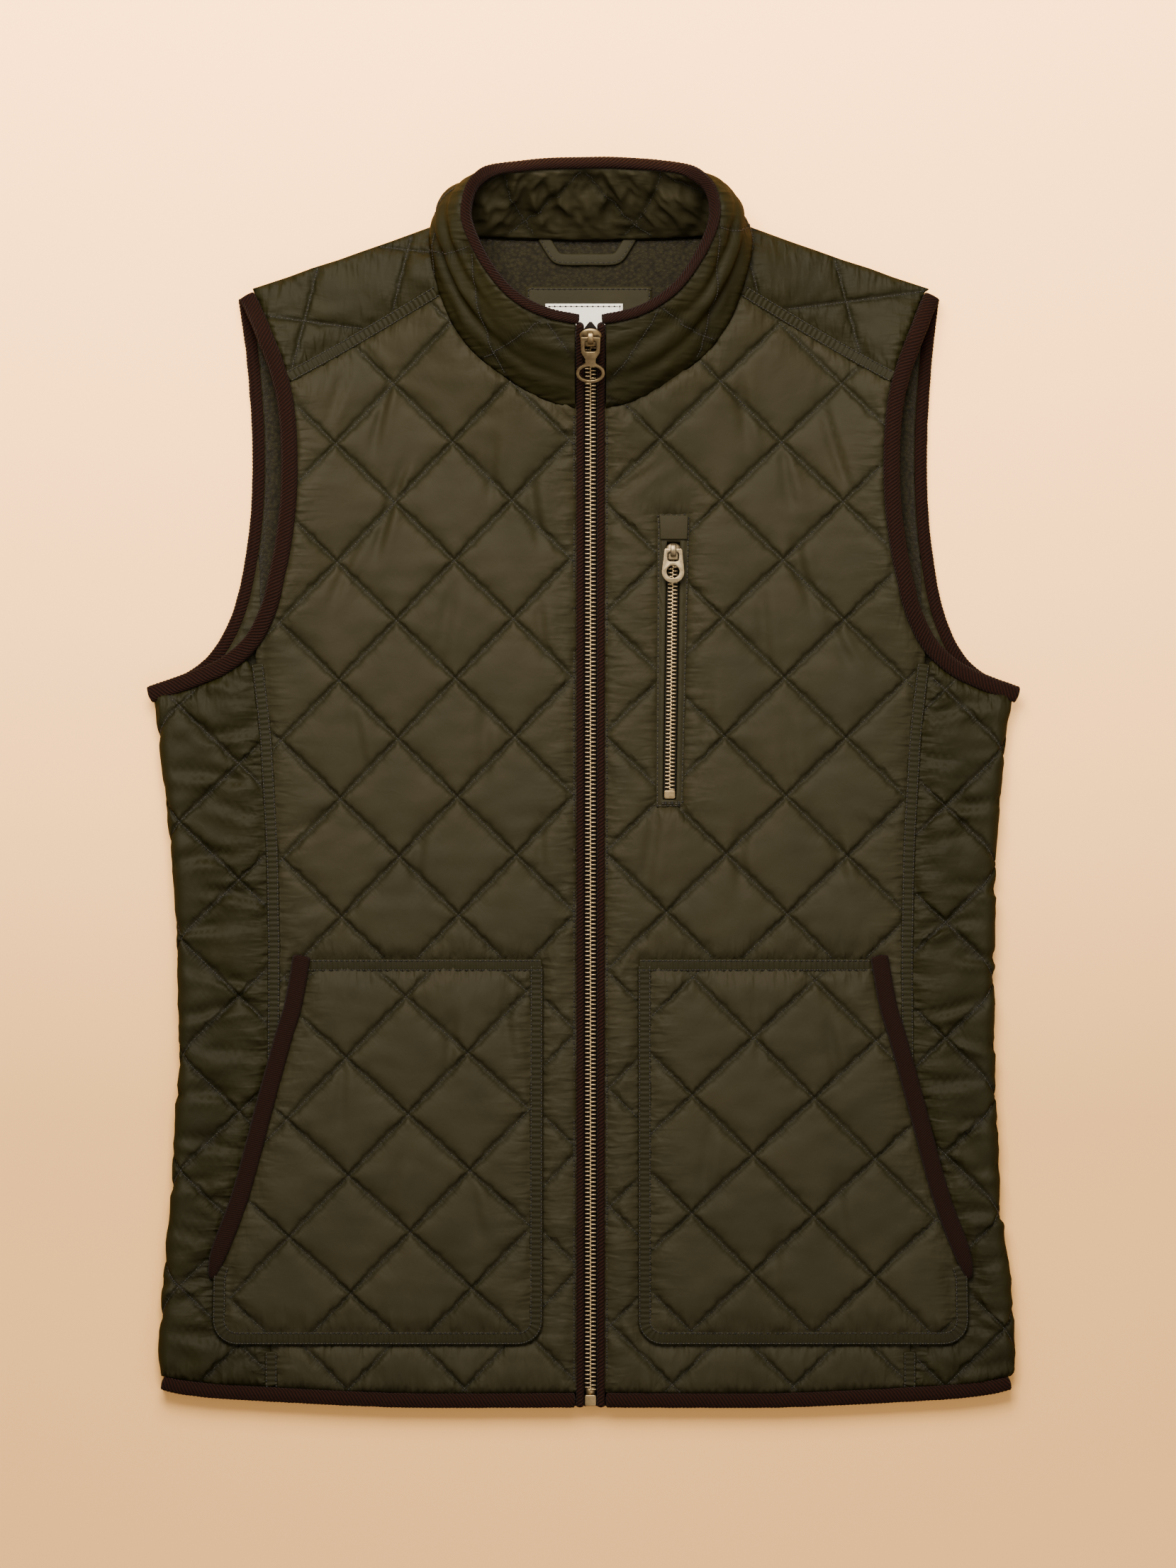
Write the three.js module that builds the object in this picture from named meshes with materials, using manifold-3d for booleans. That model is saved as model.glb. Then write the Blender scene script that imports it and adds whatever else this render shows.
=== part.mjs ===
// A quilted zip vest laid face up: the back lies on the surface, the lining lies on it,
// the two fronts lie on the lining, and the collar stands as a low leaning ring.
// Millimetres, +X to the wearer's left, +Y towards the collar, +Z up.
import * as THREE from "three";
import { mergeVertices } from "three/addons/utils/BufferGeometryUtils.js";
import Module from "manifold-3d";

const wasm = await Module();
wasm.setup();

// Driving dimensions of the cloth.
const SEAM = 0.3; // gap between two pieces
const QUILT_CELLS = 4; // facets along one side of a quilted diamond
const WALL = 3.0; // front thickness on a stitch line
const PUFF = 8.0; // height of a diamond above its stitch lines
const YOKE_PUFF = 6.0;
const FADE = 13.0; // how far a seam flattens the padding beside it
const BACK = 5.0; // thickness of the back panel
const LINING = 2.0; // thickness of the fleece lining
const NECK_LIFT = 10.0; // rise of the fronts at the neck seam
const ARM_LIFT = 8.0; // rise of the fronts at the armhole edge
const BINDING = 10.0; // width of the ribbed binding on the front armholes
const BACK_BINDING = 8.4;
const HEM_BINDING = 8.8;
const BINDING_THICK = 5.2;
const ZIP_HALF = 3.6; // half width of the main chain
const STRIP_WIDTH = 4.8; // ribbed strip on each side of the chain
const STRIP_THICK = 4.6;
const COLLAR_THICK = 5.0;
const COLLAR_PUFF = 2.2;
const RIM_HEIGHT = 47.0;

const liningBase = BACK + SEAM;
const frontBase = liningBase + LINING + SEAM;
const stripInner = ZIP_HALF + SEAM;
const frontEdge = stripInner + STRIP_WIDTH + SEAM;

// Each outline runs along one half of the vest as pairs [distance from the zip, height].
// The armholes and the hem are the middle lines of their bindings.
const outlines = {
  armhole: [
    [207, 670], [203, 662], [196.4, 646], [189.3, 627.8], [184.3, 609.5], [181.8, 589.5],
    [181.1, 568], [181.8, 545], [184.8, 520], [189, 499], [193.8, 480.5], [204, 460.7],
    [220.5, 446], [240, 437], [255, 431.5],
  ],
  backArmhole: [
    [212, 669], [210, 655], [207.5, 635], [205.6, 612], [204.2, 588], [204, 560],
    [205.2, 535], [208, 512], [212.5, 488], [219, 469], [228.5, 453], [241, 442.5], [256, 435.5],
  ],
  neck: [
    [98.3, 710.5], [95.4, 688], [91, 669], [83.5, 650.5], [71, 633.5], [52.5, 619],
    [35.5, 608.5], [20, 602.5], [9.3, 600.2],
  ],
  shoulder: [
    [98.5, 711], [121, 702.3], [137, 696.8], [152, 691.4], [168, 686.4], [182.5, 681], [205, 674.8],
  ],
  yokeSeam: [[180.6, 617.2], [91.2, 668.5]],
  sideSeam: [
    [201.5, 453], [196.5, 410], [194.5, 380], [192, 334], [191.3, 293], [191, 253],
    [192.5, 37], [192.3, 12],
  ],
  hem: [
    [9, 3.7], [60, 3.5], [110, 3.6], [152, 5.1], [188, 7], [225, 9.3], [246, 12], [256, 14.8],
  ],
};

// Side fold of the vest: height, and how far it reaches on the wearer's right and left.
const sideFold = [
  { y: 450, right: 269, left: 262 },
  { y: 412, right: 263, left: 253 },
  { y: 357, right: 257, left: 247.5 },
  { y: 314, right: 252.5, left: 245.5 },
  { y: 250, right: 250, left: 245 },
  { y: 207, right: 249.5, left: 245 },
  { y: 164, right: 252.5, left: 247 },
  { y: 122, right: 255, left: 248.5 },
  { y: 79, right: 259, left: 254.5 },
  { y: 36, right: 262, left: 258 },
  { y: 0, right: 262, left: 256 },
];

// Quilting of each panel: one crossing of two stitch lines, and the two sides of a diamond.
const quilts = {
  front_right: { x: -118.8, y: 616.3, a: [35.7, -35.1], b: [-34.8, -36.2] },
  front_left: { x: 78.2, y: 617.6, a: [37.0, -36.2], b: [-36.1, -35.0] },
  pocket_right: { x: -111.2, y: 247.0, a: [37.2, -33.9], b: [-35.9, -37.0] },
  pocket_left: { x: 61.7, y: 258.8, a: [36.6, -36.5], b: [-37.0, -34.6] },
  side_right: { x: 212, y: 387.5, a: [36, -35], b: [-36, -35] },
  side_left: { x: 214, y: 432, a: [36, -35], b: [-36, -35] },
  yoke_right: { x: -172.5, y: 654.4, a: [-12.2, -49.3], b: [50.3, -6.6] },
  yoke_left: { x: 154.1, y: 666.1, a: [13.2, -49], b: [50.3, 6.8] },
};

const colours = {
  shell: 0x47402c,
  fleece: 0x5a543f,
  rib: 0x2c1a12,
  brass: 0x9a7b46,
  teeth: 0xb8954f,
  label: 0xd8d4c8,
};

const vest = new THREE.Group();
const materials = {
  shell: cloth(colours.shell, 0.5),
  fleece: cloth(colours.fleece, 0.95),
  rib: cloth(colours.rib, 0.8),
  brass: metal(colours.brass, 0.35),
  teeth: metal(colours.teeth, 0.3),
  label: cloth(colours.label, 0.8),
};

function cloth(color, roughness) {
  return new THREE.MeshStandardMaterial({ color, roughness, metalness: 0 });
}

function metal(color, roughness) {
  return new THREE.MeshStandardMaterial({ color, roughness, metalness: 1 });
}

// Adds one named piece to a group of the vest.
function piece(name, geometry, material, parent = vest) {
  const mesh = new THREE.Mesh(geometry, material);
  mesh.name = name;
  parent.add(mesh);
  return mesh;
}

// A closed solid of a geometry. Facets that lie in one plane stay apart where keep is set.
function solidOf(geometry, keep = false) {
  const bare = geometry.index ? geometry.toNonIndexed() : geometry.clone();
  bare.deleteAttribute("normal");
  bare.deleteAttribute("uv");
  const merged = mergeVertices(bare, 1e-4);
  const triVerts = new Uint32Array(merged.index.array);
  const faceID = triVerts.slice(0, triVerts.length / 3).map((_, k) => (keep ? k : 0));
  const vertProperties = merged.attributes.position.array;
  return new wasm.Manifold(new wasm.Mesh({ numProp: 3, vertProperties, triVerts, faceID }));
}

// The surface of a solid, each point moved by an optional function.
function geometryOf(solid, move = (point) => point) {
  const mesh = solid.getMesh();
  const geometry = new THREE.BufferGeometry();
  const places = new Float32Array(mesh.numVert * 3);
  for (let i = 0; i < mesh.numVert; i++) {
    const at = i * mesh.numProp;
    const point = new THREE.Vector3(...mesh.vertProperties.subarray(at, at + 3));
    places.set(move(point).toArray(), i * 3);
  }
  geometry.setAttribute("position", new THREE.BufferAttribute(places, 3));
  geometry.setIndex(new THREE.BufferAttribute(mesh.triVerts, 1));
  geometry.computeVertexNormals();
  return geometry;
}

function smooth(from, to, value) {
  return THREE.MathUtils.smoothstep(value, from, to);
}

// A smooth curve through points of the plane, as a list of points.
function curve(points, steps) {
  return new THREE.SplineCurve(points.map(([x, y]) => new THREE.Vector2(x, y)))
    .getSpacedPoints(steps)
    .map((p) => [p.x, p.y]);
}

// Reads one column of a table at a height between its rows, which run downwards.
function reachAt(rows, y, across) {
  const last = rows.length - 1;
  let k = 1;
  while (k < last && rows[k].y > y) k++;
  const share = (y - rows[k - 1].y) / (rows[k].y - rows[k - 1].y);
  return THREE.MathUtils.lerp(rows[k - 1][across], rows[k][across], THREE.MathUtils.clamp(share, 0, 1));
}

// An outline moved sideways by a distance, to the right of its own direction.
function offset(points, distance) {
  return points.map(([x, y], k) => {
    const [bx, by] = points[Math.max(k - 1, 0)];
    const [ax, ay] = points[Math.min(k + 1, points.length - 1)];
    const length = Math.hypot(ax - bx, ay - by);
    return [x + ((ay - by) / length) * distance, y - ((ax - bx) / length) * distance];
  });
}

// An outline whose outer stretch follows the wider or narrower fold of one side.
function sided(points, name) {
  return points.map(([x, y]) => {
    const [right, left] = ["right", "left"].map((side) => reachAt(sideFold, y, side));
    const wider = (name === "right" ? right - left : left - right) / 2;
    return [x + wider * smooth(190, 250, x), y];
  });
}

const armholeMiddle = (name) => sided(curve(outlines.armhole, 26), name);
const armholeEdge = (name) => offset(armholeMiddle(name), BINDING / 2 + SEAM);
const backMiddle = (name) => offset(sided(curve(outlines.backArmhole, 22), name), BACK_BINDING / 2);
const backArmholeEdge = (name) => offset(backMiddle(name), BACK_BINDING / 2 + SEAM);
const armholeRows = armholeEdge("right").map(([x, y]) => ({ y, x }));
const shoulderRows = outlines.shoulder.map(([x, y]) => ({ y: -x, x: y }));
const hemEdge = offset(curve(outlines.hem, 30), -HEM_BINDING / 2 - SEAM);
const hemRows = hemEdge.map(([x, y]) => ({ y: -x, x: y }));
const hemAt = (x) => reachAt(hemRows, -x, "x");

// Height of the inner face of a front or yoke above the floor.
function innerHeight(x, y) {
  const across = Math.abs(x);
  const ring = (Math.hypot(across / 97, (y - 702) / 102) - 1) * 100;
  const fold = reachAt(shoulderRows, -across, "x");
  const neck = Math.max(0, 1 - Math.max(ring, 0) / 70) ** 2 * smooth(-2, 30, fold - y);
  const inside = reachAt(armholeRows, y, "x") - across;
  const arm = Math.max(0, 1 - Math.max(inside, 0) / 45) ** 2;
  const along = smooth(440, 500, y) * (1 - smooth(640, 672, y));
  return frontBase + NECK_LIFT * neck + ARM_LIFT * arm * along;
}

// Distance of a point inside a closed outline from its edge, 0 outside.
function clearance(x, y, outline) {
  let nearest = Infinity;
  let inside = false;
  outline.forEach(([ax, ay], k) => {
    const [bx, by] = outline[(k + 1) % outline.length];
    const along = (x - ax) * (bx - ax) + (y - ay) * (by - ay);
    const length = (bx - ax) ** 2 + (by - ay) ** 2;
    const share = length > 0 ? THREE.MathUtils.clamp(along / length, 0, 1) : 0;
    nearest = Math.min(nearest, Math.hypot(x - ax - share * (bx - ax), y - ay - share * (by - ay)));
    if (ay > y !== by > y && x < ax + ((y - ay) * (bx - ax)) / (by - ay)) inside = !inside;
  });
  return inside ? nearest : 0;
}

// Upright solid over an outline.
function prism(outline, low, high) {
  const shape = new THREE.Shape(outline.map(([x, y]) => new THREE.Vector2(x, y)));
  const made = new THREE.ExtrudeGeometry(shape, { depth: high - low, bevelEnabled: false });
  return solidOf(made.translate(0, 0, low));
}

// Solid between a flat level and a height function, on facets that follow the quilting.
function relief(quilt, outline, cells, height, level, keep = false) {
  const { x, y, a, b } = quilt;
  const turn = a[0] * b[1] - a[1] * b[0];
  const steps = outline.map(([px, py]) => [
    ((px - x) * b[1] - (py - y) * b[0]) / turn,
    ((py - y) * a[0] - (px - x) * a[1]) / turn,
  ]);
  const first = [0, 1].map((k) => Math.floor(Math.min(...steps.map((s) => s[k])) - 0.1) * cells);
  const last = [0, 1].map((k) => Math.ceil(Math.max(...steps.map((s) => s[k])) + 0.1) * cells);
  const rows = last[1] - first[1] + 1;
  const count = (last[0] - first[0] + 1) * rows;
  const places = [];
  for (let i = first[0]; i <= last[0]; i++) {
    for (let j = first[1]; j <= last[1]; j++) {
      const [u, v] = [i / cells, j / cells];
      const [px, py] = [x + u * a[0] + v * b[0], y + u * a[1] + v * b[1]];
      places.push([px, py, height(px, py, u, v)]);
    }
  }
  const flat = places.map(([px, py]) => [px, py, level]);
  const index = [];
  const quad = (p, q, r, s) => index.push(p, q, r, p, r, s);
  const half = cells / 2;
  const wrap = (k) => ((k % cells) + cells) % cells;
  for (let k = 0; k < count; k++) {
    const [i, j] = [Math.floor(k / rows), k % rows];
    if (k + rows >= count || j + 1 === rows) continue;
    const [p, q, r, s] = [k, k + 1, k + rows + 1, k + rows];
    const towards = wrap(i + first[0]) < half === wrap(j + first[1]) < half;
    if (towards) quad(p, q, r, s);
    else quad(q, r, s, p);
    quad(p + count, s + count, r + count, q + count);
  }
  for (let k = 0; k + 1 < rows; k++) {
    const far = count - rows + k;
    quad(k, k + count, k + 1 + count, k + 1);
    quad(far + 1, far + 1 + count, far + count, far);
  }
  for (let k = 0; k + rows < count; k += rows) {
    const far = k + rows - 1;
    quad(k + rows, k + rows + count, k + count, k);
    quad(far, far + count, far + rows + count, far + rows);
  }
  const geometry = new THREE.BufferGeometry();
  const all = new Float32Array([...places, ...flat].flat());
  geometry.setAttribute("position", new THREE.BufferAttribute(all, 3));
  const up = turn < 0 === height(x, y, 0, 0) > level;
  geometry.setIndex(up ? index : index.reverse());
  return solidOf(geometry, keep);
}

// Height of the padding above its stitch lines, from the place within a diamond.
function pillow(u, v) {
  const swell = (t) => Math.sin(Math.PI * (t - Math.floor(t))) ** 0.7;
  return swell(u) * swell(v);
}

// Quilted cloth over an outline, on an inner face of a given height.
function quilted(quilt, outline, inner, wall, puff) {
  const raised = (x, y, u, v) => {
    const soft = Math.min(1, clearance(x, y, outline) / FADE) ** 0.6;
    return inner(x, y) + wall + puff * pillow(u, v) * soft;
  };
  const top = relief(quilt, outline, QUILT_CELLS, raised, -40);
  const under = relief(quilt, outline, QUILT_CELLS / 2, inner, 120);
  return top.intersect(under).intersect(prism(outline, -30, 110));
}

// Closed surface through rings of points, capped at its two ends.
function loft(rings) {
  const around = rings[0].length;
  const index = [];
  rings.slice(1).forEach((_, k) => {
    for (let j = 0; j < around; j++) {
      const [p, q] = [k * around + j, k * around + ((j + 1) % around)];
      index.push(p, q, q + around, p, q + around, p + around);
    }
  });
  const end = (rings.length - 1) * around;
  const flat = rings[0].map((p) => p.clone());
  const cap = capOf(flat);
  cap.forEach(([a, b, c]) => index.push(a, c, b, end + a, end + b, end + c));
  const geometry = new THREE.BufferGeometry();
  const places = new Float32Array(rings.flat().flatMap((p) => p.toArray()));
  geometry.setAttribute("position", new THREE.BufferAttribute(places, 3));
  geometry.setIndex(index);
  const solid = solidOf(geometry);
  if (solid.volume() > 0) return geometryOf(solid);
  geometry.setIndex(index.reverse());
  return geometryOf(solidOf(geometry));
}

// Triangles that close a ring, in the ring's own plane.
function capOf(ring) {
  const centre = ring.reduce((sum, p) => sum.add(p), new THREE.Vector3()).divideScalar(ring.length);
  const across = ring[0].clone().sub(centre).normalize();
  const normal = new THREE.Vector3();
  ring.forEach((p, k) => {
    const next = ring[(k + 1) % ring.length];
    normal.add(p.clone().sub(centre).cross(next.clone().sub(centre)));
  });
  normal.normalize();
  const up = normal.clone().cross(across);
  const flat = ring.map((p) => {
    const from = p.clone().sub(centre);
    return new THREE.Vector2(from.dot(across), from.dot(up));
  });
  return THREE.ShapeUtils.triangulateShape(flat, []);
}

// Band with a rounded top along a path, its width level with the floor.
function band(path, width, thick, flatUnder = 0.33) {
  const section = [
    [-0.5, 0.45], [-flatUnder, 1], [flatUnder, 1], [0.5, 0.45], [flatUnder, 0], [-flatUnder, 0],
  ];
  const rings = path.map((p, k) => {
    const before = path[Math.max(k - 1, 0)];
    const after = path[Math.min(k + 1, path.length - 1)];
    const along = after.clone().sub(before).normalize();
    const side = along.clone().cross(new THREE.Vector3(0, 0, 1)).normalize();
    const up = side.clone().cross(along);
    const corner = ([s, t]) => p.clone().addScaledVector(side, s * width).addScaledVector(up, t * thick);
    return section.map(corner);
  });
  return loft(rings);
}

// Flat piece with holes, cut from sheet.
function plate(outline, thick, holes = []) {
  const shape = new THREE.Shape(outline);
  holes.forEach((hole) => shape.holes.push(new THREE.Path(hole)));
  return new THREE.ExtrudeGeometry(shape, { depth: thick, bevelEnabled: false });
}

// Points of an ellipse, or of a rounded bar when the power is above 2.
function oval(cx, cy, halfWidth, halfHeight, steps = 16, power = 2) {
  return Array.from({ length: steps }, (_, k) => {
    const angle = ((k + 0.5) / steps) * 2 * Math.PI;
    const round = (value) => Math.sign(value) * Math.abs(value) ** (2 / power);
    return new THREE.Vector2(
      cx + halfWidth * round(Math.cos(angle)),
      cy + halfHeight * round(Math.sin(angle)),
    );
  });
}

const mirrored = (outline, sign) => outline.map(([x, y]) => [x * sign, y]);
const sides = [
  { name: "right", sign: -1 },
  { name: "left", sign: 1 },
];

// Pocket on the lower front: its outline without the slanted binding.
const pocket = { inner: 28.5, top: 270, bottom: 37.3, outer: 228, corner: 15 };
const pocketSlant = [
  [174.4, 268.6], [179.2, 242], [185.2, 222], [196.5, 181], [210.5, 129], [224.4, 91.5], [228.5, 77.5],
];
const POCKET_BINDING = 10.0;

function pocketOutline(grow, slantShift) {
  const corner = (cx, from) =>
    [0, 1, 2, 3].map((k) => {
      const angle = from + (k / 3) * (Math.PI / 2);
      const radius = pocket.corner + grow;
      return [cx + radius * Math.cos(angle), pocket.bottom + pocket.corner + radius * Math.sin(angle)];
    });
  const slant = pocketSlant.map(([x, y]) => [x + slantShift, y]);
  slant[0] = [slant[0][0], pocket.top + grow];
  return [
    [pocket.inner - grow, pocket.top + grow],
    ...corner(pocket.inner + pocket.corner, Math.PI),
    ...corner(pocket.outer - pocket.corner, (3 * Math.PI) / 2),
    ...slant.reverse(),
  ];
}

// Chest pocket on the wearer's left: the flat stitched field around its zip.
const chest = { top: 537.7, bottom: 362, topHalf: 9.3, bottomHalf: 7.6, x: 50.2, drop: -2.6 };
const chestField = [
  [chest.x + chest.drop - chest.bottomHalf, chest.bottom],
  [chest.x + chest.drop + chest.bottomHalf, chest.bottom],
  [chest.x + chest.topHalf, chest.top],
  [chest.x - chest.topHalf, chest.top],
];
const chestFloor = frontBase + 1.4;
const pocketFloor = frontBase + WALL;

// Back panel, lining and the pieces inside the neck.
function backOutline(inset, sideReach, neckY) {
  const half = (name) => [
    ...[75, 150, sideReach].map((x) => [x, hemAt(x) + inset]),
    [sideReach, 505],
    ...offset(backArmholeEdge(name), inset)
      .filter(([x, y]) => x < sideReach + 4 && y > 520)
      .reverse(),
    ...outlines.shoulder.slice(0, -1).map(([x, y]) => [x, y - 1.5 - inset]).reverse(),
    [84, 708 - inset],
    [50, neckY],
  ];
  return [[0, neckY - 1], ...mirrored(half("right"), -1).reverse(), [0, hemAt(9)], ...half("left")];
}

function orderedOutline(points) {
  const area = points.reduce((sum, [x, y], k) => {
    const [nx, ny] = points[(k + 1) % points.length];
    return sum + x * ny - nx * y;
  }, 0);
  return area > 0 ? points : points.slice().reverse();
}

const backSide = 195; // distance of the back panel's side seams from the zip
const backSolid = prism(orderedOutline(backOutline(0, backSide, 705)), 0, BACK);
piece("back_panel", geometryOf(backSolid), materials.shell);
const liningSolid = prism(orderedOutline(backOutline(1.5, 199, 703.6)), liningBase, liningBase + LINING);
piece("back_lining", geometryOf(liningSolid), materials.fleece);

const facing = [[-39, 640], [37, 640], [37, 675.5], [-39, 675.5]];
const label = [[-27.2, 646], [19.5, 646], [19.5, 665.1], [-27.2, 665.1]];
const loop = [[-17.5, 689.6], [16.5, 689.6], [22.4, 698.4], [-26.5, 698.4]];
const FACING_THICK = 1.0;
const labelBase = frontBase + FACING_THICK + SEAM;
piece("back_neck_facing", geometryOf(prism(facing, frontBase, frontBase + FACING_THICK)), materials.shell);
piece("neck_label", geometryOf(prism(label, labelBase, labelBase + 0.8)), materials.label);
piece("hanger_loop", geometryOf(prism(loop, frontBase, frontBase + 1.8)), materials.shell);

// Fronts and yokes.
for (const { name, sign } of sides) {
  const half = [
    ...[frontEdge, 110, 150, 170, 192].map((x) => [x, hemAt(x)]),
    ...curve(outlines.sideSeam, 14).reverse().slice(1),
    ...armholeEdge(name).filter(([, y]) => y > 456 && y < 615).reverse(),
    ...outlines.yokeSeam,
    ...curve(outlines.neck.slice(2), 12).slice(1),
  ];
  const outline = orderedOutline(mirrored(half, sign));
  let front = quilted(quilts["front_" + name], outline, innerHeight, WALL, PUFF);
  const recess = orderedOutline(mirrored(pocketOutline(0.4, POCKET_BINDING / 2 + 0.6), sign));
  front = front.subtract(prism(recess, pocketFloor, 60));
  if (sign > 0) {
    const room = chestField.map(([x, y], k) => [
      x + (k === 0 || k === 3 ? -SEAM : SEAM),
      y + (k < 2 ? -SEAM : SEAM),
    ]);
    front = front.subtract(prism(room, chestFloor, 60));
  }
  piece("front_" + name, geometryOf(front), materials.shell);

  const yokeHalf = [
    [91.5, 668.8],
    [181, 617.6],
    ...armholeEdge(name).filter(([, y]) => y > 619).reverse(),
    ...outlines.shoulder.slice(1, -1).reverse(),
    [98.7, 710.6],
    [96.1, 690],
  ];
  const yokeOutline = orderedOutline(mirrored(yokeHalf, sign));
  const yoke = quilted(quilts["yoke_" + name], yokeOutline, innerHeight, WALL, YOKE_PUFF);
  piece("yoke_" + name, geometryOf(yoke), materials.shell);
}

// Side panels: cut flat, then turned round the side fold and back under the lining.
const FOLD_RADIUS = (frontBase - BACK) / 2;
const FOLD_LENGTH = 32;
for (const { name, sign } of sides) {
  const foldAt = (y) => reachAt(sideFold, y, name) - FOLD_RADIUS - WALL - 4.5;
  const seam = curve(outlines.sideSeam, 14).map(([x, y]) => [x + SEAM, y]);
  const farAt = (y) => 2 * foldAt(y) + FOLD_LENGTH - backSide - SEAM;
  const turned = backArmholeEdge(name)
    .filter(([x, y]) => x > backSide + SEAM && x < foldAt(y) - 6 && y < 505)
    .map(([x, y]) => [2 * foldAt(y) + FOLD_LENGTH - x, y]);
  const upper = armholeEdge(name).filter(([x, y]) => x > 204 && x < foldAt(y) - 6);
  const foldTop = upper.at(-1)[1] - 5;
  const foldHem = hemAt(foldAt(10) + 9);
  const outline = orderedOutline([
    ...seam.slice(1),
    ...[215, 235].map((x) => [x, hemAt(x)]),
    [foldAt(10), foldHem],
    [foldAt(10) + FOLD_LENGTH, foldHem],
    [foldAt(10) + FOLD_LENGTH + 40, hemAt(215)],
    ...[500, ...sideFold.slice(0, -1).map((row) => row.y), 12.5].reverse().map((y) => [farAt(y), y]),
    ...turned,
    [foldAt(427) + FOLD_LENGTH * 0.9, foldTop],
    [foldAt(427) + FOLD_LENGTH * 0.1, foldTop],
    ...upper.reverse(),
  ]);
  const raised = (x, y, u, v) => {
    const past = (x - foldAt(y)) / FOLD_LENGTH;
    const soft = Math.min(1, clearance(x, y, outline) / FADE) ** 0.6;
    const upper = WALL + PUFF * pillow(u, v) * soft + 1.5 * smooth(-0.8, 0.2, past);
    return THREE.MathUtils.lerp(upper, BACK, smooth(0.1, 0.9, past));
  };
  const quilt = quilts["side_" + name];
  const top = relief(quilt, outline, QUILT_CELLS, raised, -20, true);
  const under = relief(quilt, outline, QUILT_CELLS / 2, () => 0, 40, true);
  let panel = top.intersect(under).intersect(prism(outline, -10, 30));
  const recess = orderedOutline(pocketOutline(0.4, POCKET_BINDING / 2 + 0.6));
  panel = panel.subtract(prism(recess, WALL, 30));
  const turn = (p) => {
    const past = THREE.MathUtils.clamp((p.x - foldAt(p.y)) / FOLD_LENGTH, 0, 1);
    const back = Math.max(0, p.x - foldAt(p.y) - FOLD_LENGTH);
    const centre = Math.min(p.x, foldAt(p.y)) - back;
    const reach = FOLD_RADIUS + p.z;
    const x = sign * (centre + reach * Math.sin(past * Math.PI));
    return new THREE.Vector3(x, p.y, BACK + FOLD_RADIUS + reach * Math.cos(past * Math.PI));
  };
  const made = geometryOf(panel, turn);
  if (sign < 0) made.setIndex(Array.from(made.index.array).reverse());
  piece("side_panel_" + name, made, materials.shell);
}

// Bindings of armholes, hem and pockets.
const upright = (points, height) => points.map(([x, y]) => new THREE.Vector3(x, y, height(x, y)));
const hemHalf = (name) => sided(curve(outlines.hem, 14), name);
for (const { name, sign } of sides) {
  const front = upright(mirrored(armholeMiddle(name), sign), innerHeight);
  piece("armhole_binding_front_" + name, band(front, BINDING, BINDING_THICK), materials.rib);
  const back = upright(mirrored(backMiddle(name), sign), () => 0);
  piece("armhole_binding_back_" + name, band(back, BACK_BINDING, BACK), materials.rib);
  const hem = upright(mirrored(hemHalf(name), sign), () => frontBase);
  piece("hem_binding_front_" + name, band(hem, HEM_BINDING, BINDING_THICK), materials.rib);
  const slant = curve(pocketSlant, 9);
  const edge = upright(mirrored(slant, sign), () => pocketFloor + SEAM);
  piece("pocket_binding_" + name, band(edge, POCKET_BINDING - 2 * SEAM, BINDING_THICK), materials.rib);
  const field = orderedOutline(mirrored(pocketOutline(0, -POCKET_BINDING / 2 - SEAM), sign));
  const patch = quilted(quilts["pocket_" + name], field, () => pocketFloor + SEAM, WALL - 0.5, PUFF);
  piece("patch_pocket_" + name, geometryOf(patch), materials.shell);
}
const hemAll = [...mirrored(hemHalf("right"), -1).reverse(), ...hemHalf("left")];
piece("hem_binding_back", band(upright(hemAll, () => 0), HEM_BINDING, BACK), materials.rib);

// Collar: rings of wall sections from the front edge round the back to the other front edge.
const collarHalf = [
  { base: [9, 602.4], rim: [9, 650] },
  { base: [20, 604.8], rim: [21, 652.5] },
  { base: [34.5, 610.8], rim: [36, 658.5] },
  { base: [51, 621.2], rim: [50, 668.5] },
  { base: [69, 635.4], rim: [61.5, 682.5] },
  { base: [81.3, 652], rim: [69.5, 697] },
  { base: [88.6, 670], rim: [74.5, 712] },
  { base: [93, 689], rim: [73, 726] },
  { base: [93.5, 702], rim: [67, 735] },
  { base: [86, 708], rim: [57, 740] },
  { base: [58, 706.5], rim: [38, 742.5] },
  { base: [28, 705.5], rim: [19, 743.5] },
  { base: [0, 705], rim: [0, 743.8] },
];
const collarStations = [
  ...collarHalf.map(({ base, rim }) => ({ base: [-base[0], base[1]], rim: [-rim[0], rim[1]] })),
  ...collarHalf.slice(0, -1).reverse(),
];
const baseHeight = (x, y) => (y > 704 ? BACK + 3 : innerHeight(x * 1.02, y) + 1.4);
const along = (key, height) =>
  new THREE.CatmullRomCurve3(collarStations.map((s) => new THREE.Vector3(...s[key], height(...s[key]))));
const baseCurve = along("base", baseHeight);
const rimCurve = along("rim", () => RIM_HEIGHT);
const COLLAR_STEPS = 52;
const collarLength = baseCurve.getLength();

// Place on the collar's middle surface, with its outward direction.
function collarPlace(share, height) {
  const low = baseCurve.getPoint(share);
  const high = rimCurve.getPoint(share);
  const tangent = baseCurve.getTangent(share).add(rimCurve.getTangent(share));
  const rise = high.clone().sub(low);
  const out = rise.clone().cross(tangent).normalize();
  return { point: low.lerp(high, height), out, rise: rise.normalize() };
}

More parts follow.
